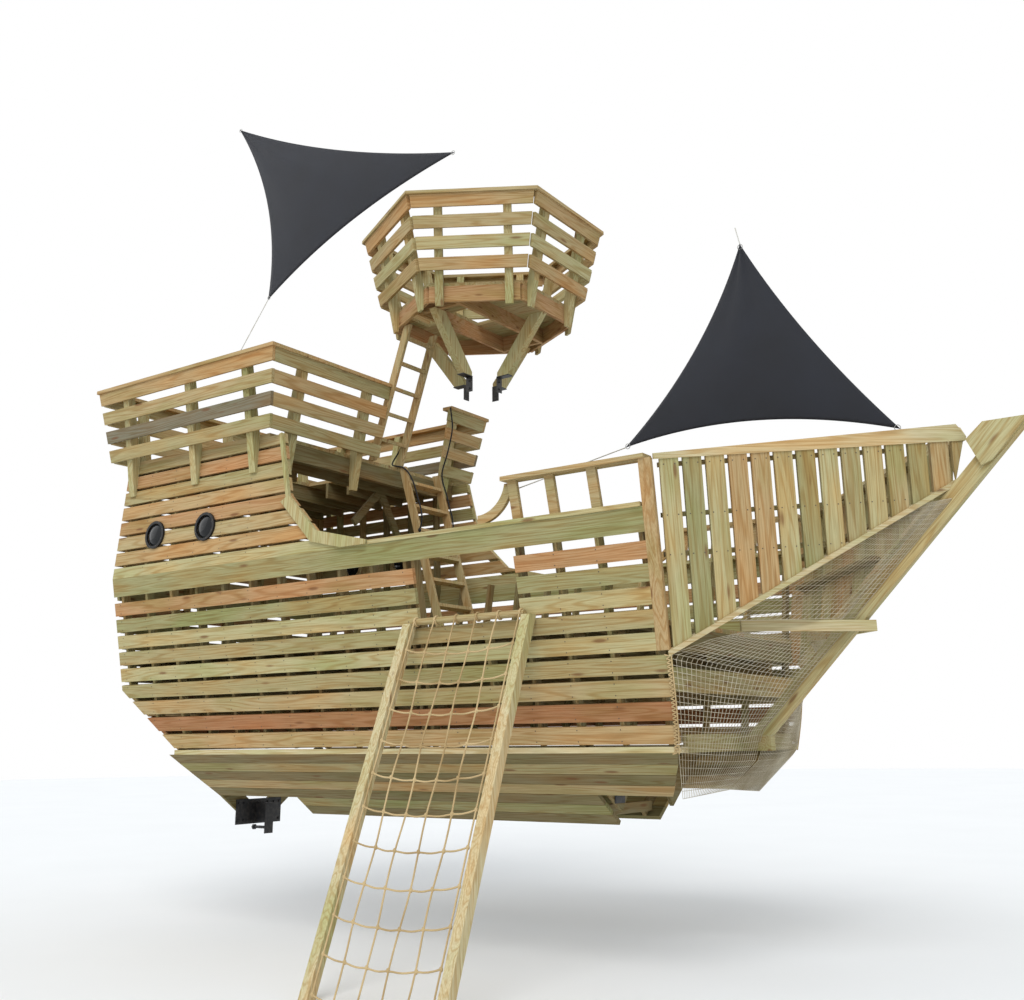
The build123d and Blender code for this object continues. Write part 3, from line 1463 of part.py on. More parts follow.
# Fore bracket: a steel plate on the fore frame, facing the fore trunk
fore_plate_size = 160.0
fore_plate_rise = 130.0
fore_bolt_reach = 60.0
fore_plate_x = hull_bow_x + fore_frame_place + stud_thickness / 2 + joint
fore_plate_point = bilge_point(0, fore_frame_foot - fore_plate_rise, board_thickness + joist_depth / 2)
fore_plate_middle = (fore_plate_x + plate_thickness / 2, fore_plate_point[1], fore_plate_point[2])
with BuildPart() as fore_bracket:
    with Locations(fore_plate_middle):
        Box(plate_thickness, fore_plate_size, fore_plate_size)
    with BuildSketch(Plane(origin=fore_plate_middle, x_dir=(0, 1, 0), z_dir=(1, 0, 0))):
        Circle(bolt_radius)
    extrude(amount=fore_bolt_reach)
write(fore_bracket.part, "fore_bracket")
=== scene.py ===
import math

import bmesh
import bpy
from mathutils import Matrix, Vector


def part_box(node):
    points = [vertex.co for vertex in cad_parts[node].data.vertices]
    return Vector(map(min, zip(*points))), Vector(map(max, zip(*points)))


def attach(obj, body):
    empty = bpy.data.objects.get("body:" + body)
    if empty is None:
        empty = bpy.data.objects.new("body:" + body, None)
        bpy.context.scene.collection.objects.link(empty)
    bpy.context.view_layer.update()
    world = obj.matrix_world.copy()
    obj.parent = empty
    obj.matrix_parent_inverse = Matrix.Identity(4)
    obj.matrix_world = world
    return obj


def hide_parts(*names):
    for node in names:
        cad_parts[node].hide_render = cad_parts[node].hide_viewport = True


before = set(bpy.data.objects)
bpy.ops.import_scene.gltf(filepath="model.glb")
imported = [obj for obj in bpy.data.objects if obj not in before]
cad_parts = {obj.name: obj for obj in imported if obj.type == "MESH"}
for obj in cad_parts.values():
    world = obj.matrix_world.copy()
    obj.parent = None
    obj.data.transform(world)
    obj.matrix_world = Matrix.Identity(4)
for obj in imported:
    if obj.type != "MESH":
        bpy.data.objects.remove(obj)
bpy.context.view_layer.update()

# Steel brackets: flat plates with a black finish that carry the ship and the crow's nest.
# The cross plate is bolted to the stern frames, with six-sided bolt heads on its bow side.


def shade(red, green, blue):
    """A colour, 0 to 255, turned to the renderer's own scale."""
    linear = [((c / 255 + 0.055) / 1.055) ** 2.4 if c > 10 else c / 255 / 12.92 for c in (red, green, blue)]
    return (*linear, 1.0)


def put(tree, kind, inputs=None, **settings):
    """A node with its settings, and its inputs set to values or linked to other outputs."""
    made = tree.nodes.new(kind)
    for name, value in settings.items():
        setattr(made, name, value)
    for name, value in (inputs or {}).items():
        if isinstance(value, bpy.types.NodeSocket):
            tree.links.new(value, made.inputs[name])
        else:
            made.inputs[name].default_value = value
    return made


def sums(tree, operation, first, second=0.0):
    """One step of arithmetic on two values."""
    return put(tree, "ShaderNodeMath", {0: first, 1: second}, operation=operation).outputs[0]


def blended(tree, blend, factor, under, over):
    """One colour laid over another."""
    mix = put(tree, "ShaderNodeMix", data_type="RGBA", blend_type=blend)
    for socket, value in ((0, factor), (6, under), (7, over)):
        if isinstance(value, bpy.types.NodeSocket):
            tree.links.new(value, mix.inputs[socket])
        else:
            mix.inputs[socket].default_value = value
    return mix.outputs[2]


def ramp(tree, factor, stops, stepped=False):
    """Colours along a value."""
    made = put(tree, "ShaderNodeValToRGB", {0: factor})
    made.color_ramp.interpolation = "CONSTANT" if stepped else "LINEAR"
    while len(made.color_ramp.elements) < len(stops):
        made.color_ramp.elements.new(0.5)
    for element, (place, colour) in zip(made.color_ramp.elements, stops):
        element.position = place
        element.color = colour
    return made.outputs[0]


def material(name):
    """An empty material, its tree, its shader and the piece's own coordinates."""
    made = bpy.data.materials.new(name)
    made.use_nodes = True
    tree = made.node_tree
    place = put(tree, "ShaderNodeTexCoord").outputs["Object"]
    return made, tree, tree.nodes["Principled BSDF"], place


def finish(made, *names):
    """Gives CAD nodes their material."""
    for name in names:
        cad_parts[name].data.materials.clear()
        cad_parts[name].data.materials.append(made)


def added(name, shape, made):
    """A new piece of the ship from a finished mesh."""
    mesh = bpy.data.meshes.new(name)
    shape.to_mesh(mesh)
    shape.free()
    mesh.materials.append(made)
    piece = bpy.data.objects.new(name, mesh)
    bpy.context.scene.collection.objects.link(piece)
    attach(piece, "root")
    return piece


steel, tree, shader, place = material("black_painted_steel")
scuffs = put(tree, "ShaderNodeTexNoise", {"Vector": place, "Scale": 28.0, "Detail": 6.0}).outputs[0]
colour = ramp(tree, scuffs, [(0.45, shade(26, 26, 28)), (0.75, shade(62, 58, 54))])
tree.links.new(colour, shader.inputs["Base Color"])
shader.inputs["Roughness"].default_value = 0.5
finish(steel, "aft_bracket", "fore_bracket", "nest_brackets")


def stub(shape, centre, axis, radius, length, sides):
    """A short round or six-sided head that stands up along an axis."""
    turn = Vector(axis).normalized().to_track_quat("Z", "Y").to_matrix().to_4x4()
    place = Matrix.Translation(Vector(centre) + Vector(axis).normalized() * length / 2)
    bmesh.ops.create_cone(
        shape, cap_ends=True, segments=sides, radius1=radius, radius2=radius * 0.9, depth=length,
        matrix=place @ turn,
    )


bolt_head = 0.014
bolt_rise = 0.012
bolt_reaches = (0.13, 0.22, 0.3)
bolt_heights = (0.08, 0.26)
cross_plate_x = -0.181
cross_plate_half = 0.01
bolts = bmesh.new()
for side in (-1, 1):
    for reach in bolt_reaches:
        for height in bolt_heights:
            spot = (cross_plate_x + cross_plate_half, side * reach, height)
            stub(bolts, spot, (1, 0, 0), bolt_head, bolt_rise, 6)
added("cross_plate_bolts", bolts, steel)

# Frames, beams and joists: sawn timber below the decks, olive and greenish as treated pine
# is, with the grain along each timber. Growth rings, fine streaks, knots and stains mix.
seed_stride = 7.31
row_stride = 3.7
ring_waves = 60.0
knot_core = 0.07
knot_edge = 0.15
grain = bpy.data.node_groups.new("timber_grain", "ShaderNodeTree")
for name in ("Along", "Across", "Deep", "Seed"):
    grain.interface.new_socket(name, in_out="INPUT", socket_type="NodeSocketFloat")
for name in ("Rings", "Streaks", "Knots", "Weather"):
    grain.interface.new_socket(name, in_out="OUTPUT", socket_type="NodeSocketFloat")
given = grain.nodes.new("NodeGroupInput").outputs
shown = grain.nodes.new("NodeGroupOutput").inputs
moved = sums(grain, "ADD", given["Along"], sums(grain, "MULTIPLY", given["Seed"], seed_stride))
spot = put(grain, "ShaderNodeCombineXYZ", {0: moved, 1: given["Across"], 2: given["Deep"]}).outputs[0]


def stretched(x, y, z):
    """The grain's coordinates, stretched along the timber."""
    return put(grain, "ShaderNodeVectorMath", {0: spot, 1: (x, y, z)}, operation="MULTIPLY").outputs[0]


swirl = put(
    grain, "ShaderNodeTexNoise", {"Vector": stretched(0.5, 9.0, 9.0), "Scale": 1.0, "Detail": 1.0},
).outputs[0]
waves = sums(grain, "SINE", sums(grain, "MULTIPLY", swirl, ring_waves))
grain.links.new(sums(grain, "MULTIPLY", sums(grain, "ADD", waves, 1.0), 0.5), shown["Rings"])
fibres = put(
    grain, "ShaderNodeTexNoise", {"Vector": stretched(4.0, 150.0, 150.0), "Scale": 1.0, "Detail": 4.0},
).outputs[0]
grain.links.new(fibres, shown["Streaks"])
cells = put(grain, "ShaderNodeTexVoronoi", {"Vector": stretched(1.7, 7.5, 7.5), "Scale": 1.0}).outputs[0]
knot_fade = {0: cells, 1: knot_core, 2: knot_edge, 3: 1.0, 4: 0.0}
knots = put(grain, "ShaderNodeMapRange", knot_fade).outputs[0]
grain.links.new(knots, shown["Knots"])
patches = put(
    grain, "ShaderNodeTexNoise", {"Vector": stretched(0.9, 3.0, 3.0), "Scale": 1.0, "Detail": 3.0},
).outputs[0]
grain.links.new(patches, shown["Weather"])

GREEN = shade(164, 160, 118)
YELLOW_GREEN = shade(190, 182, 140)
TAN = shade(186, 168, 128)
TAN_GREEN = shade(176, 165, 124)
TAN_ORANGE = shade(190, 164, 122)
ORANGE = shade(190, 152, 112)
RED_ORANGE = shade(172, 126, 90)
PALE = shade(208, 196, 160)
OLIVE = shade(138, 127, 94)
GREY = shade(132, 126, 108)


def timber(name, tones, along, across, start=0.0, pitch=10.0, ordered=True, seed=0.0, around=None):
    """Sawn boards: the grain runs one way, and each row across has a tone of its own."""
    made, tree, shader, place = material(name)

    def measured(direction):
        return put(
            tree, "ShaderNodeVectorMath", {0: place, 1: tuple(direction)}, operation="DOT_PRODUCT",
        ).outputs["Value"]

    deep = Vector(along).cross(Vector(across)).normalized()
    if around is None:
        run = measured(along)
    else:
        split = put(tree, "ShaderNodeSeparateXYZ", {0: place}).outputs
        east = sums(tree, "SUBTRACT", split[0], around[0])
        north = sums(tree, "SUBTRACT", split[1], around[1])
        run = sums(tree, "MULTIPLY", sums(tree, "ARCTAN2", north, east), around[2])
    up = measured(across)
    row = sums(tree, "FLOOR", sums(tree, "DIVIDE", sums(tree, "SUBTRACT", up, start), pitch))
    if ordered:
        share = sums(tree, "DIVIDE", sums(tree, "ADD", row, 0.5), float(len(tones)))
    else:
        shifted = sums(tree, "ADD", row, seed)
        share = put(tree, "ShaderNodeTexWhiteNoise", {"W": shifted}, noise_dimensions="1D").outputs[0]
    steps = [(index / len(tones), tone) for index, tone in enumerate(tones)]
    tone = ramp(tree, share, steps, stepped=True) if len(tones) > 1 else tones[0]
    moved = sums(tree, "ADD", run, sums(tree, "MULTIPLY", row, row_stride))
    group = put(tree, "ShaderNodeGroup", {"Along": moved, "Across": up, "Seed": seed}, node_tree=grain)
    if around is None:
        tree.links.new(measured(deep), group.inputs["Deep"])
    fibre = group.outputs
    dark = ramp(tree, fibre["Rings"], [(0.0, shade(222, 196, 158)), (0.5, shade(255, 255, 255))])
    fine = ramp(tree, fibre["Streaks"], [(0.3, shade(206, 190, 166)), (0.62, shade(255, 255, 255))])
    stain = ramp(
        tree, fibre["Weather"],
        [(0.3, shade(255, 226, 190)), (0.5, shade(246, 246, 240)), (0.72, shade(214, 226, 190))],
    )
    colour = blended(tree, "MULTIPLY", 0.6, tone, dark)
    colour = blended(tree, "MULTIPLY", 0.65, colour, fine)
    colour = blended(tree, "MULTIPLY", 0.8, colour, stain)
    colour = blended(tree, "MIX", sums(tree, "MULTIPLY", fibre["Knots"], 0.7), colour, shade(108, 66, 36))
    tree.links.new(colour, shader.inputs["Base Color"])
    relief = sums(tree, "ADD", fibre["Rings"], fibre["Streaks"])
    bump = put(tree, "ShaderNodeBump", {"Height": relief, "Strength": 0.25, "Distance": 0.001}).outputs[0]
    tree.links.new(bump, shader.inputs["Normal"])
    shader.inputs["Roughness"].default_value = 0.78
    shader.inputs["Specular IOR Level"].default_value = 0.25
    return made


ALONG = (1, 0, 0)
ACROSS = (0, 1, 0)
UP = (0, 0, 1)
joist_timber = timber("joist_timber", [OLIVE], ACROSS, UP, seed=1.0)
finish(joist_timber, "main_deck_joists", "poop_joists", "bottom_frames")
finish(timber("beam_timber", [OLIVE], ALONG, UP, seed=2.0), "main_beams")
finish(timber("bow_beam_timber", [TAN_GREEN], ACROSS, UP, seed=3.0), "bow_beams")

# Bilge and chine: close boards that slope in under the ship, in its shade, and one flat
# pale board a side whose edge shows along the turn of the hull.
hull_bow_x = 5.7
half_beam = 1.2
chine_z = 0.83
bilge_slope = math.radians(35.7)
bilge_pitch = 0.1465
chine_strip = 0.046
bilge_tones = [OLIVE, TAN_GREEN, OLIVE, TAN, OLIVE, GREEN, OLIVE]
bilge_start = -half_beam * math.cos(bilge_slope) - (chine_z - chine_strip) * math.sin(bilge_slope)
for side, name in ((1, "starboard_bilge_boards"), (-1, "port_bilge_boards")):
    down = (0, side * math.cos(bilge_slope), -math.sin(bilge_slope))
    finish(timber(name, bilge_tones, ALONG, down, bilge_start, bilge_pitch, seed=4.0 + side), name)
finish(timber("chine_timber", [PALE], ALONG, UP, seed=6.0), "chine_boards")

# Hull sides: nine rows of level boards a side with open gaps, nailed to upright ribs, under
# one wide band. The rows differ in tone, and one of them is strongly reddish.
hull_flare = math.radians(12.0)
hull_pitch = 0.178
hull_rows = 9
hull_length = 6.68
hull_tones = [
    TAN_ORANGE, RED_ORANGE, TAN, TAN_GREEN, YELLOW_GREEN, TAN_GREEN, YELLOW_GREEN, GREEN, ORANGE,
    GREEN, GREEN,
]
row_rise = hull_pitch * math.cos(hull_flare)
hull_timber = timber("hull_timber", hull_tones, ALONG, UP, chine_z, row_rise, seed=7.0)
finish(hull_timber, "port_hull_boards", "starboard_hull_boards")
finish(timber("stern_timber", hull_tones, ACROSS, UP, chine_z, row_rise, seed=8.0), "stern_boards")
finish(timber("band_timber", [GREEN], ALONG, UP, seed=9.0), "sheer_bands")
finish(timber("sheer_cap_timber", [YELLOW_GREEN], ALONG, ACROSS, seed=10.0), "sheer_caps")
upright_timber = timber("upright_timber", [OLIVE, TAN_GREEN], UP, ALONG, pitch=0.2, ordered=False, seed=11.0)
finish(upright_timber, "port_ribs", "starboard_ribs", "stern_studs", "cabin_studs")
finish(timber("corner_board_timber", [TAN_ORANGE], UP, ALONG, seed=12.0), "bow_corner_boards")

nail_steel, tree, shader, place = material("dull_nail_steel")
spots = put(tree, "ShaderNodeTexNoise", {"Vector": place, "Scale": 400.0}).outputs[0]
colour = ramp(tree, spots, [(0.4, shade(70, 62, 52)), (0.6, shade(112, 104, 92))])
tree.links.new(colour, shader.inputs["Base Color"])
shader.inputs["Metallic"].default_value = 0.6
shader.inputs["Roughness"].default_value = 0.55
nail_radius = 0.0055
nail_rise = 0.0015
nail_spread = 0.045
rib_first = 0.089
rib_spacing = 0.406
rib_count = 17
stern_rise = 0.64
stern_cut = 0.78
gate_forward = 1.3
gate_width = 1.11
gate_rows = 3
gate_clearance = 0.05
cut_clearance = 0.03
corner_cover = 0.15


def nail(shape, point, normal):
    """A nail head, a little proud of the board."""
    stub(shape, point, normal, nail_radius, nail_rise, 7)


hull_nails = bmesh.new()
for side in (-1, 1):
    for rib in range(rib_count):
        back = rib_first + rib_spacing * rib
        for row in range(hull_rows):
            for offset in (-nail_spread, nail_spread):
                slope = hull_pitch * (row + 0.5) + offset
                cut = (back + cut_clearance - hull_length + stern_cut) * stern_rise / stern_cut
                gate_back = gate_forward + gate_width + gate_clearance
                in_gate = gate_forward - gate_clearance < back < gate_back
                open_gate = side < 0 and row >= hull_rows - gate_rows and in_gate
                if slope < cut + nail_spread or open_gate or back < corner_cover:
                    continue
                out = half_beam + slope * math.sin(hull_flare)
                point = (hull_bow_x - back, side * out, chine_z + slope * math.cos(hull_flare))
                nail(hull_nails, point, (0, side * math.cos(hull_flare), -math.sin(hull_flare)))
added("hull_nails", hull_nails, nail_steel)

# Decks: sawn boards of mixed tones, laid along the ship on the joists with a narrow gap
# between them.
deck_tones = [TAN, TAN_GREEN, YELLOW_GREEN, TAN_ORANGE, TAN]
deck_pitch = 0.146
deck_timber = timber("deck_timber", deck_tones, ALONG, ACROSS, pitch=deck_pitch, ordered=False, seed=13.0)
finish(deck_timber, "main_deck", "poop_deck")

# Cabin: close level boards on studs, paler and more orange than the hull, with a flat
# trim that follows the open front of each side.
sheer_z = 2.6415
cabin_lap = 0.04
cabin_start = sheer_z - cabin_lap
cabin_pitch = 0.17
cabin_tones = [YELLOW_GREEN, TAN_ORANGE, TAN, ORANGE, TAN_ORANGE, TAN_GREEN, ORANGE, TAN]
cabin_timber = timber("cabin_timber", cabin_tones, ALONG, UP, cabin_start, cabin_pitch, seed=14.0)
finish(cabin_timber, "port_cabin_wall", "starboard_cabin_wall")
stern_wall_timber = timber(
    "stern_wall_timber", cabin_tones, ACROSS, UP, cabin_start, cabin_pitch, seed=15.0,
)
finish(stern_wall_timber, "stern_wall")
finish(timber("opening_trim_timber", [YELLOW_GREEN], UP, ALONG, seed=16.0), "opening_trims")

wall_lean = math.radians(2.0)
side_height = 1.852
knuckle_y = half_beam + side_height * math.sin(hull_flare)
cabin_ribs = range(11, 16)
cabin_rows = 7
first_board_middle = 0.045
lowest_nail = 0.01
cabin_nails = bmesh.new()
for side in (-1, 1):
    for rib in cabin_ribs:
        back = rib_first + rib_spacing * rib
        for row in range(cabin_rows):
            for offset in (-nail_spread, nail_spread):
                slope = first_board_middle + cabin_pitch * row + offset
                if slope < lowest_nail:
                    continue
                out = knuckle_y - slope * math.sin(wall_lean)
                point = (hull_bow_x - back, side * out, sheer_z + slope * math.cos(wall_lean))
                nail(cabin_nails, point, (0, side * math.cos(wall_lean), math.sin(wall_lean)))
added("cabin_nails", cabin_nails, nail_steel)

# Portholes: a black round rim on the wall, held by a ring of screws, and a dark glossy
# pane that bulges a little inside it.
rim_black, tree, shader, place = material("black_moulded_rim")
speckle = put(tree, "ShaderNodeTexNoise", {"Vector": place, "Scale": 900.0}).outputs[0]
colour = ramp(tree, speckle, [(0.4, shade(16, 16, 17)), (0.7, shade(30, 30, 31))])
tree.links.new(colour, shader.inputs["Base Color"])
bump = put(tree, "ShaderNodeBump", {"Height": speckle, "Strength": 0.1}).outputs[0]
tree.links.new(bump, shader.inputs["Normal"])
shader.inputs["Roughness"].default_value = 0.5
shader.inputs["Specular IOR Level"].default_value = 0.3
finish(rim_black, "porthole_rims")
pane_dark, tree, shader, place = material("dark_glossy_pane")
haze = put(tree, "ShaderNodeTexNoise", {"Vector": place, "Scale": 6.0, "Detail": 4.0}).outputs[0]
colour = ramp(tree, haze, [(0.3, shade(14, 16, 18)), (0.8, shade(34, 36, 38))])
tree.links.new(colour, shader.inputs["Base Color"])
gloss = ramp(tree, haze, [(0.3, (0.06, 0.06, 0.06, 1)), (0.8, (0.2, 0.2, 0.2, 1))])
tree.links.new(gloss, shader.inputs["Roughness"])
shader.inputs["Specular IOR Level"].default_value = 0.3
finish(pane_dark, "porthole_panes")

porthole_backs = (6.01, 5.2)
porthole_height = 0.425
screw_circle = 0.136
screw_count = 8
screw_radius = 0.006
screw_rise = 0.0015
rim_depth = 0.024
rim_screws = bmesh.new()
for side in (-1, 1):
    normal = Vector((0, side * math.cos(wall_lean), math.sin(wall_lean)))
    upward = Vector((0, -side * math.sin(wall_lean), math.cos(wall_lean)))
    for back in porthole_backs:
        centre = Vector((hull_bow_x - back, side * knuckle_y, sheer_z)) + upward * porthole_height
        for screw in range(screw_count):
            angle = math.radians(360 / screw_count * (screw + 0.5))
            ring = Vector((1, 0, 0)) * math.cos(angle) + upward * math.sin(angle)
            spot = centre + ring * screw_circle + normal * rim_depth
            stub(rim_screws, spot, normal, screw_radius, screw_rise, 8)
added("porthole_screws", rim_screws, nail_steel)

# Poop rail: four leaning rows of boards a side on notched posts, and a flat cap all round.
# One row of the long sides has weathered grey.
rail_start = 3.9535
rail_pitch = 0.2219
side_tones = [TAN_GREEN, GREY, TAN, TAN_ORANGE]
end_tones = [TAN_GREEN, TAN, TAN_ORANGE, TAN_GREEN]
side_timber = timber("side_rail_timber", side_tones, ALONG, UP, rail_start, rail_pitch, seed=17.0)
finish(side_timber, "poop_rail_starboard", "poop_rail_port")
end_timber = timber("end_rail_timber", end_tones, ACROSS, UP, rail_start, rail_pitch, seed=18.0)
finish(end_timber, "poop_rail_front", "poop_rail_stern")
finish(timber("rail_cap_timber", [TAN_ORANGE], ALONG, ACROSS, seed=19.0), "poop_rail_cap")
post_tones = [YELLOW_GREEN, TAN_GREEN]
post_timber = timber("post_timber", post_tones, UP, ALONG, pitch=0.5, ordered=False, seed=20.0)
finish(post_timber, "poop_posts", "nest_posts")

# Ladders: sawn tan timber, two flat stiles each with flat rungs let in between them. One
# leads up to the poop deck and the other from there to the crow's nest.
stile_timber = timber("stile_timber", [TAN, TAN_ORANGE], UP, ACROSS, pitch=0.3, ordered=False, seed=21.0)
finish(stile_timber, "poop_ladder", "nest_ladder")

# Forecastle rail: short timber posts on the sheer cap with a plate on them, and a curved
# board a side that sweeps up to the aft post.
finish(timber("forecastle_timber", [TAN], ALONG, UP, seed=22.0), "forecastle_rails")

# Bow: upright boards nailed to three rails, a low trim under their ends and a tapered cap,
# running out to a straight raked stem, with a ledge board on edge below each side.
corner_foot = Vector((5.736, -1.3528, 1.5489))
corner_top = Vector((5.8086, -1.6624, 3.0054))
stem_tip = Vector((7.8, 0, 3.25))
panel_lean = math.radians(3.9)
panel_normal = (stem_tip - corner_top).cross(corner_foot - corner_top).normalized()
if panel_normal.y > 0:
    panel_normal.negate()
level_x = Vector((stem_tip.x - corner_top.x, stem_tip.y - corner_top.y, 0)).normalized()
level_y = panel_normal.cross(level_x).normalized()
level_x = level_y.cross(panel_normal)
panel_x = level_x * math.cos(panel_lean) + level_y * math.sin(panel_lean)
panel_y = level_y * math.cos(panel_lean) - level_x * math.sin(panel_lean)
panel_pitch = 0.185
panel_first = 0.017
bow_tones = [
    YELLOW_GREEN, GREEN, YELLOW_GREEN, TAN_ORANGE, TAN_ORANGE, YELLOW_GREEN, GREEN, YELLOW_GREEN,
    TAN_GREEN, YELLOW_GREEN, TAN, GREEN, TAN, TAN_GREEN,
]
board_start = corner_foot.dot(panel_x) + panel_first
for side, name in ((1, "starboard_bow_panel"), (-1, "port_bow_panel")):
    mirror = Vector((1, side, 1))
    made = timber(
        name + "_timber", bow_tones, panel_y * mirror, panel_x * mirror, board_start, panel_pitch,
        seed=23.0 + side,
    )
    finish(made, name)
finish(timber("bow_trim_timber", [PALE], level_x, UP, seed=25.0), "bow_trims", "bow_caps", "beak_ledges")
finish(timber("bow_rail_timber", [OLIVE], level_x, UP, seed=26.0), "bow_rails")
stem_rake = math.radians(45.1)
stem_along = Vector((math.cos(stem_rake), 0, math.sin(stem_rake)))
finish(timber("stem_timber", [YELLOW_GREEN], stem_along, ACROSS, seed=27.0), "stem", "stem_head")

bow_board_count = 13
bow_rail_heights = (0.72, 1.028, 1.425)
bow_rail_reaches = (1.42, 2.0, 2.0)
bow_nails = bmesh.new()
for side in (1, -1):
    mirror = Vector((1, side, 1))
    for column in range(bow_board_count):
        along = panel_first + panel_pitch * (column + 0.5)
        for up, reach in zip(bow_rail_heights, bow_rail_reaches):
            if along > reach:
                continue
            for offset in (-nail_spread, nail_spread):
                point = corner_foot + panel_x * (along + offset) + panel_y * up
                nail(bow_nails, point * mirror, panel_normal * mirror)
added("bow_nails", bow_nails, nail_steel)

# Bow nets: pale cord in fine meshes, stretched from the hull's bow edge to the stem, one net
# below the ledge and one above it a side. A rope is laced down the hull's edge.
rope_twist = bpy.data.node_groups.new("rope_twist", "ShaderNodeTree")
rope_twist.interface.new_socket("Place", in_out="INPUT", socket_type="NodeSocketVector")
rope_twist.interface.new_socket("Turns", in_out="INPUT", socket_type="NodeSocketFloat")
rope_twist.interface.new_socket("Strand", in_out="OUTPUT", socket_type="NodeSocketFloat")
given = rope_twist.nodes.new("NodeGroupInput").outputs
shown = rope_twist.nodes.new("NodeGroupOutput").inputs
strand_lean = {0: given["Place"], 1: (1.0, 1.0, 1.35)}
lean = put(rope_twist, "ShaderNodeVectorMath", strand_lean, operation="DOT_PRODUCT").outputs["Value"]
turned = sums(rope_twist, "SINE", sums(rope_twist, "MULTIPLY", lean, given["Turns"]))
raised = sums(rope_twist, "ADD", sums(rope_twist, "MULTIPLY", turned, 0.5), 0.5)
rope_twist.links.new(raised, shown["Strand"])


def rope_material(name, light, dark, turns):
    """Laid rope: strands that wind round it, with painted shade in the grooves where they meet."""
    made, tree, shader, place = material(name)
    strand = put(tree, "ShaderNodeGroup", node_tree=rope_twist)
    tree.links.new(place, strand.inputs["Place"])
    strand.inputs["Turns"].default_value = turns
    wear = put(tree, "ShaderNodeTexNoise", {"Vector": place, "Scale": 3.0, "Detail": 5.0}).outputs[0]
    # The dark colour is painted shade in the grooves between the strands.
    colour = ramp(tree, strand.outputs[0], [(0.0, dark), (0.5, light)])
    soil = ramp(tree, wear, [(0.35, shade(206, 196, 178)), (0.6, shade(255, 255, 255))])
    tree.links.new(blended(tree, "MULTIPLY", 0.8, colour, soil), shader.inputs["Base Color"])
    bump = put(tree, "ShaderNodeBump", {"Height": strand.outputs[0], "Strength": 0.6, "Distance": 0.002})
    tree.links.new(bump.outputs[0], shader.inputs["Normal"])
    shader.inputs["Roughness"].default_value = 0.85
    return made


# The second colour of each rope is its painted shade in the grooves between strands.
pale_rope = rope_material("pale_rope", shade(214, 190, 142), shade(150, 122, 82), 420.0)
net_cord = rope_material("net_cord", shade(222, 214, 192), shade(176, 164, 138), 1200.0)


stem_foot_x = 5.905
stem_foot_z = 0.955
stem_gap = 0.052


def stem_point(height):
    """A point beside the stem at a height, on the starboard side."""
    return Vector((stem_foot_x + (height - stem_foot_z) / math.tan(stem_rake), -stem_gap, height))


def blend_points(points, share):
    """A point along a bent line, each stretch taking an equal share."""
    steps = len(points) - 1
    stretch = min(int(share * steps), steps - 1)
    return points[stretch].lerp(points[stretch + 1], share * steps - stretch)


def net(name, outer, inner, rows, columns, sag, cord):
    """A square-meshed net between two bent lines, a little slack in the middle."""
    shape = bmesh.new()
    bmesh.ops.create_grid(shape, x_segments=columns, y_segments=rows, size=1.0)
    slack = (outer[0] - inner[-1]).cross(outer[-1] - inner[0]).normalized() * sag
    for vert in shape.verts:
        across = (vert.co.x + 1) / 2
        up = (vert.co.y + 1) / 2
        place = blend_points(outer, up).lerp(blend_points(inner, up), across)
        vert.co = place + slack * math.sin(math.pi * across) * math.sin(math.pi * up)
    piece = added(name, shape, net_cord)
    wires = piece.modifiers.new("cords", "WIREFRAME")
    wires.thickness = cord
    wires.use_boundary = True
    wires.use_even_offset = False


net_thickness = 0.0055
lower_meshes = (34, 30)
upper_meshes = (24, 22)
lower_slack = 0.05
upper_slack = 0.02
lower_stem_z = 0.95
lower_stem_step = 0.15
upper_stem_z = 1.82
upper_stem_step = 0.22
trim_slope = 0.478
trim_drop = 0.045
trim_inset = 0.03
trim_reaches = (0.47, 0.9, 1.35, 1.8, 2.15)
hull_edge = [
    Vector((5.478, -0.75, 0.429)), Vector((5.69, -1.19, 0.775)), Vector((5.722, -1.245, 1.0)),
    Vector((5.735, -1.297, 1.25)), Vector((5.745, -1.35, 1.51)), Vector((5.99, -1.1, 1.63)),
    Vector((6.08, -0.74, 1.7)),
]
lower_stem = [Vector((5.542, -0.012, 0.472)), Vector((5.8, -0.03, 0.7))]
lower_stem += [stem_point(lower_stem_z + lower_stem_step * step) for step in range(6)]
trim_edge = [
    corner_foot + panel_x * along + panel_y * (trim_slope * along - trim_drop) - panel_normal * trim_inset
    for along in trim_reaches
]
upper_stem = [stem_point(upper_stem_z + upper_stem_step * step) for step in range(5)]
for side, word in ((1, "starboard"), (-1, "port")):
    mirror = Vector((1, side, 1))
    net(
        word + "_lower_net", [p * mirror for p in hull_edge], [p * mirror for p in lower_stem],
        *lower_meshes, -lower_slack * side, net_thickness,
    )
    net(
        word + "_upper_net", [p * mirror for p in trim_edge], [p * mirror for p in upper_stem],
        *upper_meshes, -upper_slack * side, net_thickness,
    )


def rope_line(name, lines, radius, made, sides=2):
    """Ropes that follow lines of points, as round tubes."""
    data = bpy.data.curves.new(name, "CURVE")
    data.dimensions = "3D"
    data.bevel_depth = radius
    data.bevel_resolution = sides
    data.resolution_u = 3
    data.use_fill_caps = True
    for points in lines:
        spline = data.splines.new("NURBS")
        spline.points.add(len(points) - 1)
        for control, point in zip(spline.points, points):
            control.co = (*point, 1.0)
        spline.order_u = 3
        spline.use_endpoint_u = True
    data.materials.append(made)
    piece = bpy.data.objects.new(name, data)
    bpy.context.scene.collection.objects.link(piece)
    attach(piece, "root")
    return piece


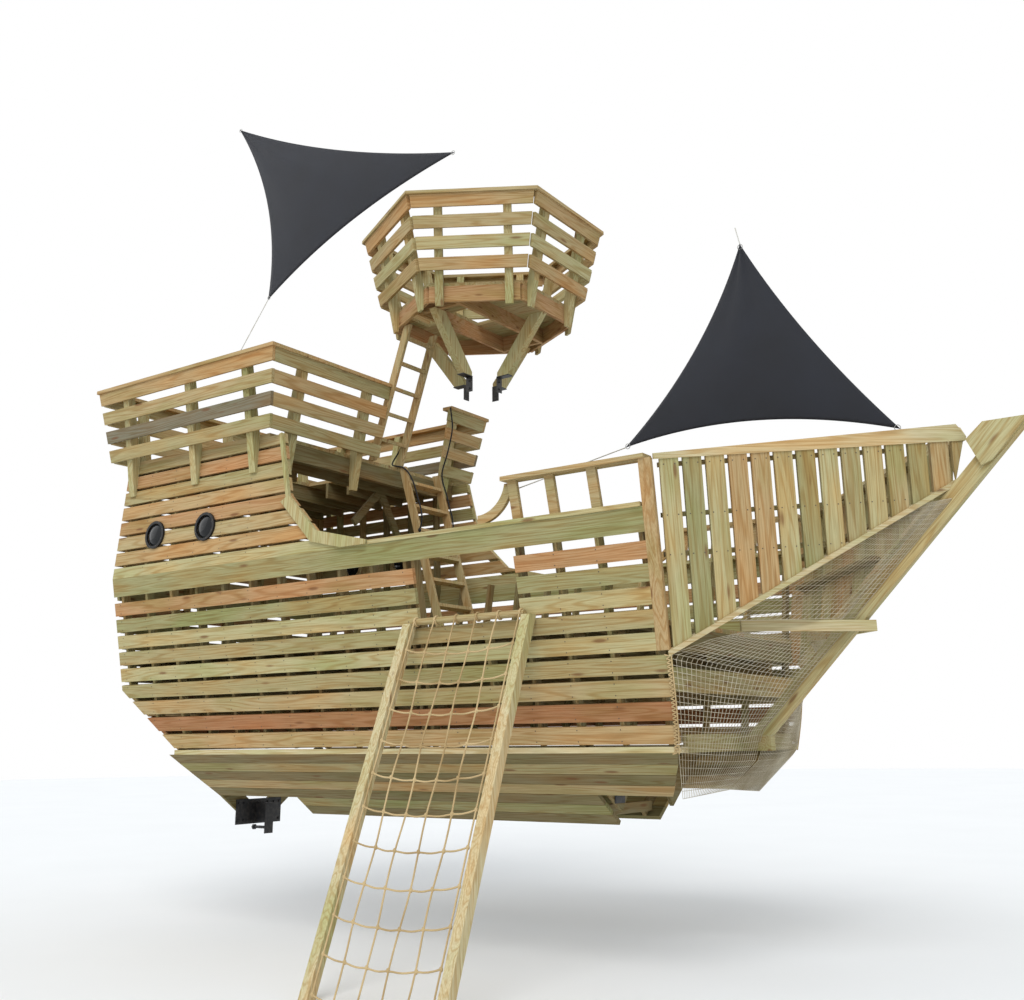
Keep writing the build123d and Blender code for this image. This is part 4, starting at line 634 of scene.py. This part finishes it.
lacing_turns = 26
lacing_radius = 0.005
lacing_out = Vector((0.012, -0.008, 0))
lacing_in = Vector((-0.05, -0.008, 0))
edge_rope_shift = Vector((0.004, -0.004, 0))
laced_edge = hull_edge[1:5]
lacings = []
for side in (1, -1):
    mirror = Vector((1, side, 1))
    zigzag = []
    for turn in range(2 * lacing_turns + 1):
        spot = blend_points(laced_edge, turn / (2 * lacing_turns))
        zigzag.append((spot + (lacing_out if turn % 2 else lacing_in)) * mirror)
    lacings.append(zigzag)
    lacings.append([(p + edge_rope_shift) * mirror for p in laced_edge])
rope_line("net_lacing", lacings, lacing_radius, pale_rope)

# Crow's nest: a six-sided timber deck on joists with leaning rows of boards on posts and a
# mitred cap round it, carried by four knee braces, each with lag screws at its foot.
nest_centre = (2.492, 0.623)
nest_turn_radius = 1.2
nest_around = (*nest_centre, nest_turn_radius)
nest_start = 5.788
nest_pitch = 0.2286
nest_tones = [TAN_ORANGE, YELLOW_GREEN, TAN, TAN_ORANGE]
nest_timber = timber(
    "nest_timber", nest_tones, ALONG, UP, nest_start, nest_pitch, seed=28.0, around=nest_around,
)
finish(nest_timber, "nest_rail_boards")
finish(timber("nest_cap_timber", [TAN], ALONG, UP, seed=29.0, around=nest_around), "nest_cap")
finish(timber("nest_rim_timber", [ORANGE], ALONG, UP, seed=30.0, around=nest_around), "nest_rim")
nest_deck_timber = timber(
    "nest_deck_timber", [TAN_GREEN, TAN], ALONG, ACROSS, pitch=deck_pitch, ordered=False, seed=31.0,
)
finish(nest_deck_timber, "nest_deck")
finish(timber("brace_timber", [YELLOW_GREEN], UP, ALONG, seed=32.0), "nest_braces")

mast_radius = 0.235
nest_plate = 0.01
brace_count = 4
brace_turn = -2
brace_foot_z = 4.835
lag_drops = (0.055, 0.14)
lag_screws = bmesh.new()
for brace in range(brace_count):
    angle = math.radians(brace_turn + 360 / brace_count * brace)
    out = Vector((math.cos(angle), math.sin(angle), 0))
    foot = Vector((*nest_centre, brace_foot_z))
    for drop in lag_drops:
        spot = foot + out * (mast_radius + nest_plate) - Vector((0, 0, drop))
        stub(lag_screws, spot, out, bolt_head, bolt_rise, 6)
added("nest_lag_screws", lag_screws, steel)

# Climbing frame: two square pale rails that lean on the hull below the entrance, a round
# tan bar between their heads, and a net of thick tan rope with a knot at every crossing.
finish(timber("climbing_rail_timber", [PALE], UP, ALONG, seed=33.0), "climbing_rails")
bar_timber = timber("climbing_bar_timber", [TAN], ALONG, UP, seed=34.0)
finish(bar_timber, "climbing_bar")

net_low, net_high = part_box("climbing_net")
net_columns = 6
net_rows = 11
net_rope = 0.014
climb_foot = (3.341, 4.604)
climb_head = (3.223, 4.509)
net_inset = 0.075
bar_height = 1.907
net_end_height = -0.86
net_top = Vector((0, net_high.y - net_rope / 2, bar_height))
net_foot = Vector((0, net_low.y + net_rope, net_end_height))
net_sag = 0.055
net_wander = 0.016
rope_dip = 0.018


def net_knot(column, row):
    """A knot of the climbing net, with the small wander of hand-tied rope."""
    across = column / (net_columns - 1)
    down = row / net_rows
    left = climb_head[0] + net_inset + (climb_foot[0] - climb_head[0]) * down
    right = climb_head[1] - net_inset + (climb_foot[1] - climb_head[1]) * down
    place = net_top.lerp(net_foot, down)
    inner = 0 < column < net_columns - 1 and 0 < row < net_rows
    wander = net_wander * math.sin(2.3 * column + 1.7 * row) if inner else 0.0
    drop = net_sag * 4 * across * (1 - across) if row > 0 else 0.0
    along = (net_foot - net_top).normalized()
    return Vector((left + (right - left) * across + wander, place.y, place.z)) + along * drop


strands = []
for column in range(net_columns):
    strands.append([net_knot(column, row) for row in range(net_rows + 1)])
for row in range(1, net_rows + 1):
    points = []
    for column in range(net_columns - 1):
        start = net_knot(column, row)
        end = net_knot(column + 1, row)
        points += [start, start.lerp(end, 0.5) - Vector((0, 0, rope_dip))]
    strands.append(points + [net_knot(net_columns - 1, row)])
climbing_ropes = rope_line("climbing_net_ropes", strands, net_rope / 2, pale_rope)
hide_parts("climbing_net")

knot_radius = 0.0155
knot_shape = Matrix.Diagonal((1.0, 0.8, 1.25, 1.0))
knots = bmesh.new()
for row in range(1, net_rows + 1):
    for column in range(net_columns):
        bmesh.ops.create_icosphere(
            knots, subdivisions=2, radius=knot_radius,
            matrix=Matrix.Translation(net_knot(column, row)) @ knot_shape,
        )
added("climbing_net_knots", knots, pale_rope)

bar_radius = 0.03
wrap_radius = bar_radius + net_rope / 2
wrap_width = 0.016
wrap_turn = 30
wrap_steps = 24
wraps = []
for column in range(net_columns):
    top = net_knot(column, 0)
    loop = []
    for step in range(wrap_steps + 1):
        angle = math.radians(wrap_turn * step)
        spread = wrap_width * (step / wrap_steps - 0.5)
        depth = wrap_radius * (1 - math.cos(angle))
        rise = wrap_radius * math.sin(angle)
        loop.append(Vector((top.x + spread, net_top.y + depth, bar_height + rise)))
    wraps.append(loop)
rope_line("climbing_net_wraps", wraps, net_rope / 2, pale_rope)

# Sails: two dark triangles of woven cloth with hollow hemmed edges, held at their corners by
# steel rings and thin white ropes. The cloth is sculpted here, not simulated.
cloth, tree, shader, place = material("dark_sail_cloth")
weave_x = put(tree, "ShaderNodeTexWave", {"Vector": place, "Scale": 260.0}, bands_direction="X").outputs[1]
weave_z = put(tree, "ShaderNodeTexWave", {"Vector": place, "Scale": 260.0}, bands_direction="Z").outputs[1]
weave = sums(tree, "MULTIPLY", weave_x, weave_z)
fold_relief_and_shade = put(tree, "ShaderNodeTexNoise", {"Vector": place, "Scale": 2.2, "Detail": 4.0}).outputs[0]
sheet_map = put(tree, "ShaderNodeUVMap").outputs[0]
split = put(tree, "ShaderNodeSeparateXYZ", {0: sheet_map}).outputs
side_gap = sums(tree, "MINIMUM", split[0], sums(tree, "SUBTRACT", 1.0, split[0]))
edge_gap = sums(tree, "MINIMUM", side_gap, sums(tree, "SUBTRACT", 1.0, split[1]))
hem = put(tree, "ShaderNodeMapRange", {0: edge_gap, 1: 0.016, 2: 0.019, 3: 1.0, 4: 0.0}).outputs[0]
# The colour follows the folds: painted shade in their hollows and painted light on their crests.
tone = ramp(tree, fold_relief_and_shade, [(0.3, shade(15, 18, 27)), (0.7, shade(21, 25, 36))])
tone = blended(tree, "MULTIPLY", sums(tree, "MULTIPLY", weave, 0.4), tone, shade(150, 150, 160))
tone = blended(tree, "MIX", sums(tree, "MULTIPLY", hem, 0.45), tone, shade(24, 25, 32))
tree.links.new(tone, shader.inputs["Base Color"])
height = sums(tree, "ADD", sums(tree, "MULTIPLY", fold_relief_and_shade, 4.0), sums(tree, "ADD", weave, hem))
bump = put(tree, "ShaderNodeBump", {"Height": height, "Strength": 0.4, "Distance": 0.004}).outputs[0]
tree.links.new(bump, shader.inputs["Normal"])
shader.inputs["Roughness"].default_value = 0.8
shader.inputs["Sheen Weight"].default_value = 0.1

ring_steel, tree, shader, place = material("sail_ring_steel")
polish = put(tree, "ShaderNodeTexNoise", {"Vector": place, "Scale": 60.0}).outputs[0]
colour = ramp(tree, polish, [(0.3, shade(150, 150, 148)), (0.7, shade(186, 186, 182))])
tree.links.new(colour, shader.inputs["Base Color"])
shader.inputs["Metallic"].default_value = 1.0
shader.inputs["Roughness"].default_value = 0.3

crease_depth = 0.008
cloth_thickness = 0.002
ring_radius = 0.024
ring_inset = 0.03
ring_wire = 0.004
ring_steps = 20
ring_step = 0.012


def sail(name, corners, hollows, billow):
    """A triangle of cloth whose edges curve in, sculpted to belly a little between its corners."""
    a, b, c = [Vector(corner) for corner in corners]
    centre = (a + b + c) / 3
    normal = (b - a).cross(c - a).normalized()
    if normal.y > 0:
        normal.negate()

    def bend(start, end, hollow):
        return (centre - (start + end) / 2).normalized() * (end - start).length * hollow

    left = bend(a, b, hollows[0])
    far = bend(b, c, hollows[1])
    right = bend(c, a, hollows[2])
    shape = bmesh.new()
    bmesh.ops.create_grid(shape, x_segments=40, y_segments=40, size=1.0, calc_uvs=True)
    sheet_uv = shape.loops.layers.uv.verify()
    for face in shape.faces:
        for loop in face.loops:
            loop[sheet_uv].uv = ((loop.vert.co.x + 1) / 2, (loop.vert.co.y + 1) / 2)
    for vert in shape.verts:
        s = (vert.co.x + 1) / 2
        t = (vert.co.y + 1) / 2
        arch = 4 * t * (1 - t)
        start = a.lerp(b, t) + left * arch
        end = a.lerp(c, t) + right * arch
        belly = math.sin(math.pi * s) * math.sin(math.pi * t) * billow
        crease = crease_depth * math.sin(16 * s + 3 * t) * (1 - t) * math.sin(math.pi * s)
        vert.co = start.lerp(end, s) + far * 4 * s * (1 - s) * t * t + normal * (belly + crease)
    bmesh.ops.remove_doubles(shape, verts=shape.verts, dist=1e-5)
    for face in shape.faces:
        face.smooth = True
    piece = added(name + "_cloth", shape, cloth)
    wall = piece.modifiers.new("cloth", "SOLIDIFY")
    wall.thickness = cloth_thickness
    wall.offset = 0.0
    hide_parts(name)
    rings = bmesh.new()
    for corner in (a, b, c):
        inward = (centre - corner).normalized()
        hub = corner + inward * ring_inset
        for step in range(ring_steps):
            angle = math.radians(360 / ring_steps * step)
            spoke = inward * math.cos(angle) + normal.cross(inward) * math.sin(angle)
            tangent = normal.cross(spoke)
            start = hub + spoke * ring_radius - tangent * ring_step / 2
            stub(rings, start, tangent, ring_wire, ring_step, 6)
    ring_piece = added(name + "_rings", rings, ring_steel)


fore_corners = [(6.08, -0.2, 5.28), (4.78, -0.2, 3.53), (7.35, -0.2, 3.29)]
aft_corners = [(-1.235, 0, 9.067), (2.565, 0, 7.478), (-0.478, 0, 6.347)]
fore_hollows = (0.064, 0.065, 0.03)
aft_hollows = (0.032, 0.058, 0.10)
sail("fore_sail", fore_corners, fore_hollows, billow=0.05)
sail("aft_sail", aft_corners, aft_hollows, billow=0.06)
# The second colour is the rope's painted shade in the grooves between strands.
white_rope = rope_material("white_rope", shade(224, 222, 214), shade(168, 164, 154), 900.0)
finish(white_rope, "sail_ropes")

# Hand ropes: two slack black ropes beside the ladders, each tied at its top and hanging down
# past the edge of the poop deck, with a knot at its lower end.
# The second colour is the rope's painted shade in the grooves between strands.
black_rope = rope_material("black_rope", shade(34, 34, 36), shade(14, 14, 15), 520.0)
hand_radius = 0.009
starboard_route = [
    (1.668, 0.4945, 4.905), (1.632, 0.503, 4.8), (1.622, 0.505, 4.67), (1.574, 0.505, 4.543),
    (1.508, 0.505, 4.395), (1.426, 0.505, 4.25), (1.335, 0.502, 4.13), (1.285, 0.48, 4.045),
    (1.3, 0.437, 3.985), (1.385, 0.43, 3.962), (1.48, 0.436, 3.94), (1.57, 0.44, 3.855),
    (1.65, 0.44, 3.71), (1.7, 0.44, 3.55), (1.76, 0.44, 3.4), (1.772, 0.44, 3.26), (1.735, 0.4407, 3.18),
]
port_route = [
    (1.665, 1.0805, 4.775), (1.69, 1.078, 4.64), (1.706, 1.075, 4.5), (1.665, 1.075, 4.329),
    (1.605, 1.075, 4.14), (1.54, 1.075, 3.995), (1.55, 1.075, 3.868), (1.615, 1.075, 3.715),
    (1.668, 1.075, 3.52), (1.722, 1.075, 3.37), (1.715, 1.075, 3.262),
]
end_knot_radius = 0.019
end_knot_drop = Vector((0, 0, 0.006))
end_knot_shape = Matrix.Diagonal((1, 0.95, 1.2, 1))
hand_ropes = (
    ("starboard_hand_rope", starboard_route, 2.047),
    ("port_hand_rope", port_route, 1.568),
)
for name, route, length in hand_ropes:
    rope = rope_line(name + "_line", [route], hand_radius, black_rope, sides=4)
    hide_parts(name)
    knot = bmesh.new()
    bmesh.ops.create_icosphere(
        knot, subdivisions=3, radius=end_knot_radius,
        matrix=Matrix.Translation(Vector(route[-1]) - end_knot_drop) @ end_knot_shape,
    )
    end_knot = added(name + "_knot", knot, black_rope)

# The room: a plain pale floor at the feet of the climbing rails, soft even light and the
# photograph's camera.
rail_foot_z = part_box("climbing_rails")[0].z
floor_radius = 60.0
floor_centre = (2.5, 0, rail_foot_z - 0.001)
pale_floor, tree, shader, place = material("pale_floor")
tone = put(tree, "ShaderNodeTexNoise", {"Vector": place, "Scale": 0.6}).outputs[0]
colour = ramp(tree, tone, [(0.3, shade(238, 238, 237)), (0.7, shade(240, 240, 239))])
tree.links.new(colour, shader.inputs["Base Color"])
shader.inputs["Roughness"].default_value = 0.95
ground = bmesh.new()
bmesh.ops.create_circle(
    ground, cap_ends=True, segments=96, radius=floor_radius, matrix=Matrix.Translation(floor_centre),
)
floor_mesh = bpy.data.meshes.new("floor")
ground.to_mesh(floor_mesh)
ground.free()
floor_mesh.materials.append(pale_floor)
floor = bpy.data.objects.new("floor", floor_mesh)
bpy.context.scene.collection.objects.link(floor)

world = bpy.data.worlds.new("soft_daylight")
bpy.context.scene.world = world
world.use_nodes = True
sky = world.node_tree
seen = put(sky, "ShaderNodeLightPath").outputs
mirrored = sums(sky, "ADD", seen["Is Glossy Ray"], seen["Is Transmission Ray"])
direct = sums(sky, "ADD", seen["Is Camera Ray"], mirrored)
daylight = put(sky, "ShaderNodeBackground", {"Color": (0.9, 0.95, 1.0, 1.0), "Strength": 0.78})
plain = put(sky, "ShaderNodeBackground", {"Color": (1.0, 1.0, 1.0, 1.0), "Strength": 1.0})
mixed = put(sky, "ShaderNodeMixShader", {0: sums(sky, "MINIMUM", direct, 1.0)})
sky.links.new(daylight.outputs[0], mixed.inputs[1])
sky.links.new(plain.outputs[0], mixed.inputs[2])
sky.links.new(mixed.outputs[0], sky.nodes["World Output"].inputs["Surface"])


def sun(name, energy, angle, toward):
    """A broad soft sun that shines along a direction."""
    data = bpy.data.lights.new(name, "SUN")
    data.energy = energy
    data.angle = math.radians(angle)
    lamp = bpy.data.objects.new(name, data)
    lamp.rotation_euler = Vector(toward).to_track_quat("-Z", "Y").to_euler()
    bpy.context.scene.collection.objects.link(lamp)


sun("key", energy=1.5, angle=35.0, toward=(-0.35, 0.75, -0.75))
sun("fill", energy=0.5, angle=60.0, toward=(0.8, 0.5, -0.35))

yaw, pitch, roll = math.radians(34.962), math.radians(16.822), math.radians(-0.661)
level_forward = Vector((-math.sin(yaw), math.cos(yaw), 0))
forward = level_forward * math.cos(pitch) + Vector((0, 0, math.sin(pitch)))
side = Vector((math.cos(yaw), math.sin(yaw), 0))
over = Vector((0, 0, math.cos(pitch))) - level_forward * math.sin(pitch)
right = side * math.cos(roll) + over * math.sin(roll)
upward = over * math.cos(roll) - side * math.sin(roll)
lens_pixels = 1133.95
picture_width = 1024.0
picture_height = 1000.0
axis_row = 396.5
sensor_width = 36.0
camera_place = (9.8803, -9.3574, 0.8985)
camera_data = bpy.data.cameras.new("photo_camera")
camera_data.sensor_width = sensor_width
camera_data.lens = lens_pixels / picture_width * sensor_width
camera_data.shift_y = (axis_row - picture_height / 2) / picture_width
camera = bpy.data.objects.new("photo_camera", camera_data)
turn = Matrix((right, upward, -forward)).transposed().to_4x4()
camera.matrix_world = Matrix.Translation(camera_place) @ turn
bpy.context.scene.collection.objects.link(camera)
bpy.context.scene.camera = camera
bpy.context.scene.view_settings.view_transform = "Standard"
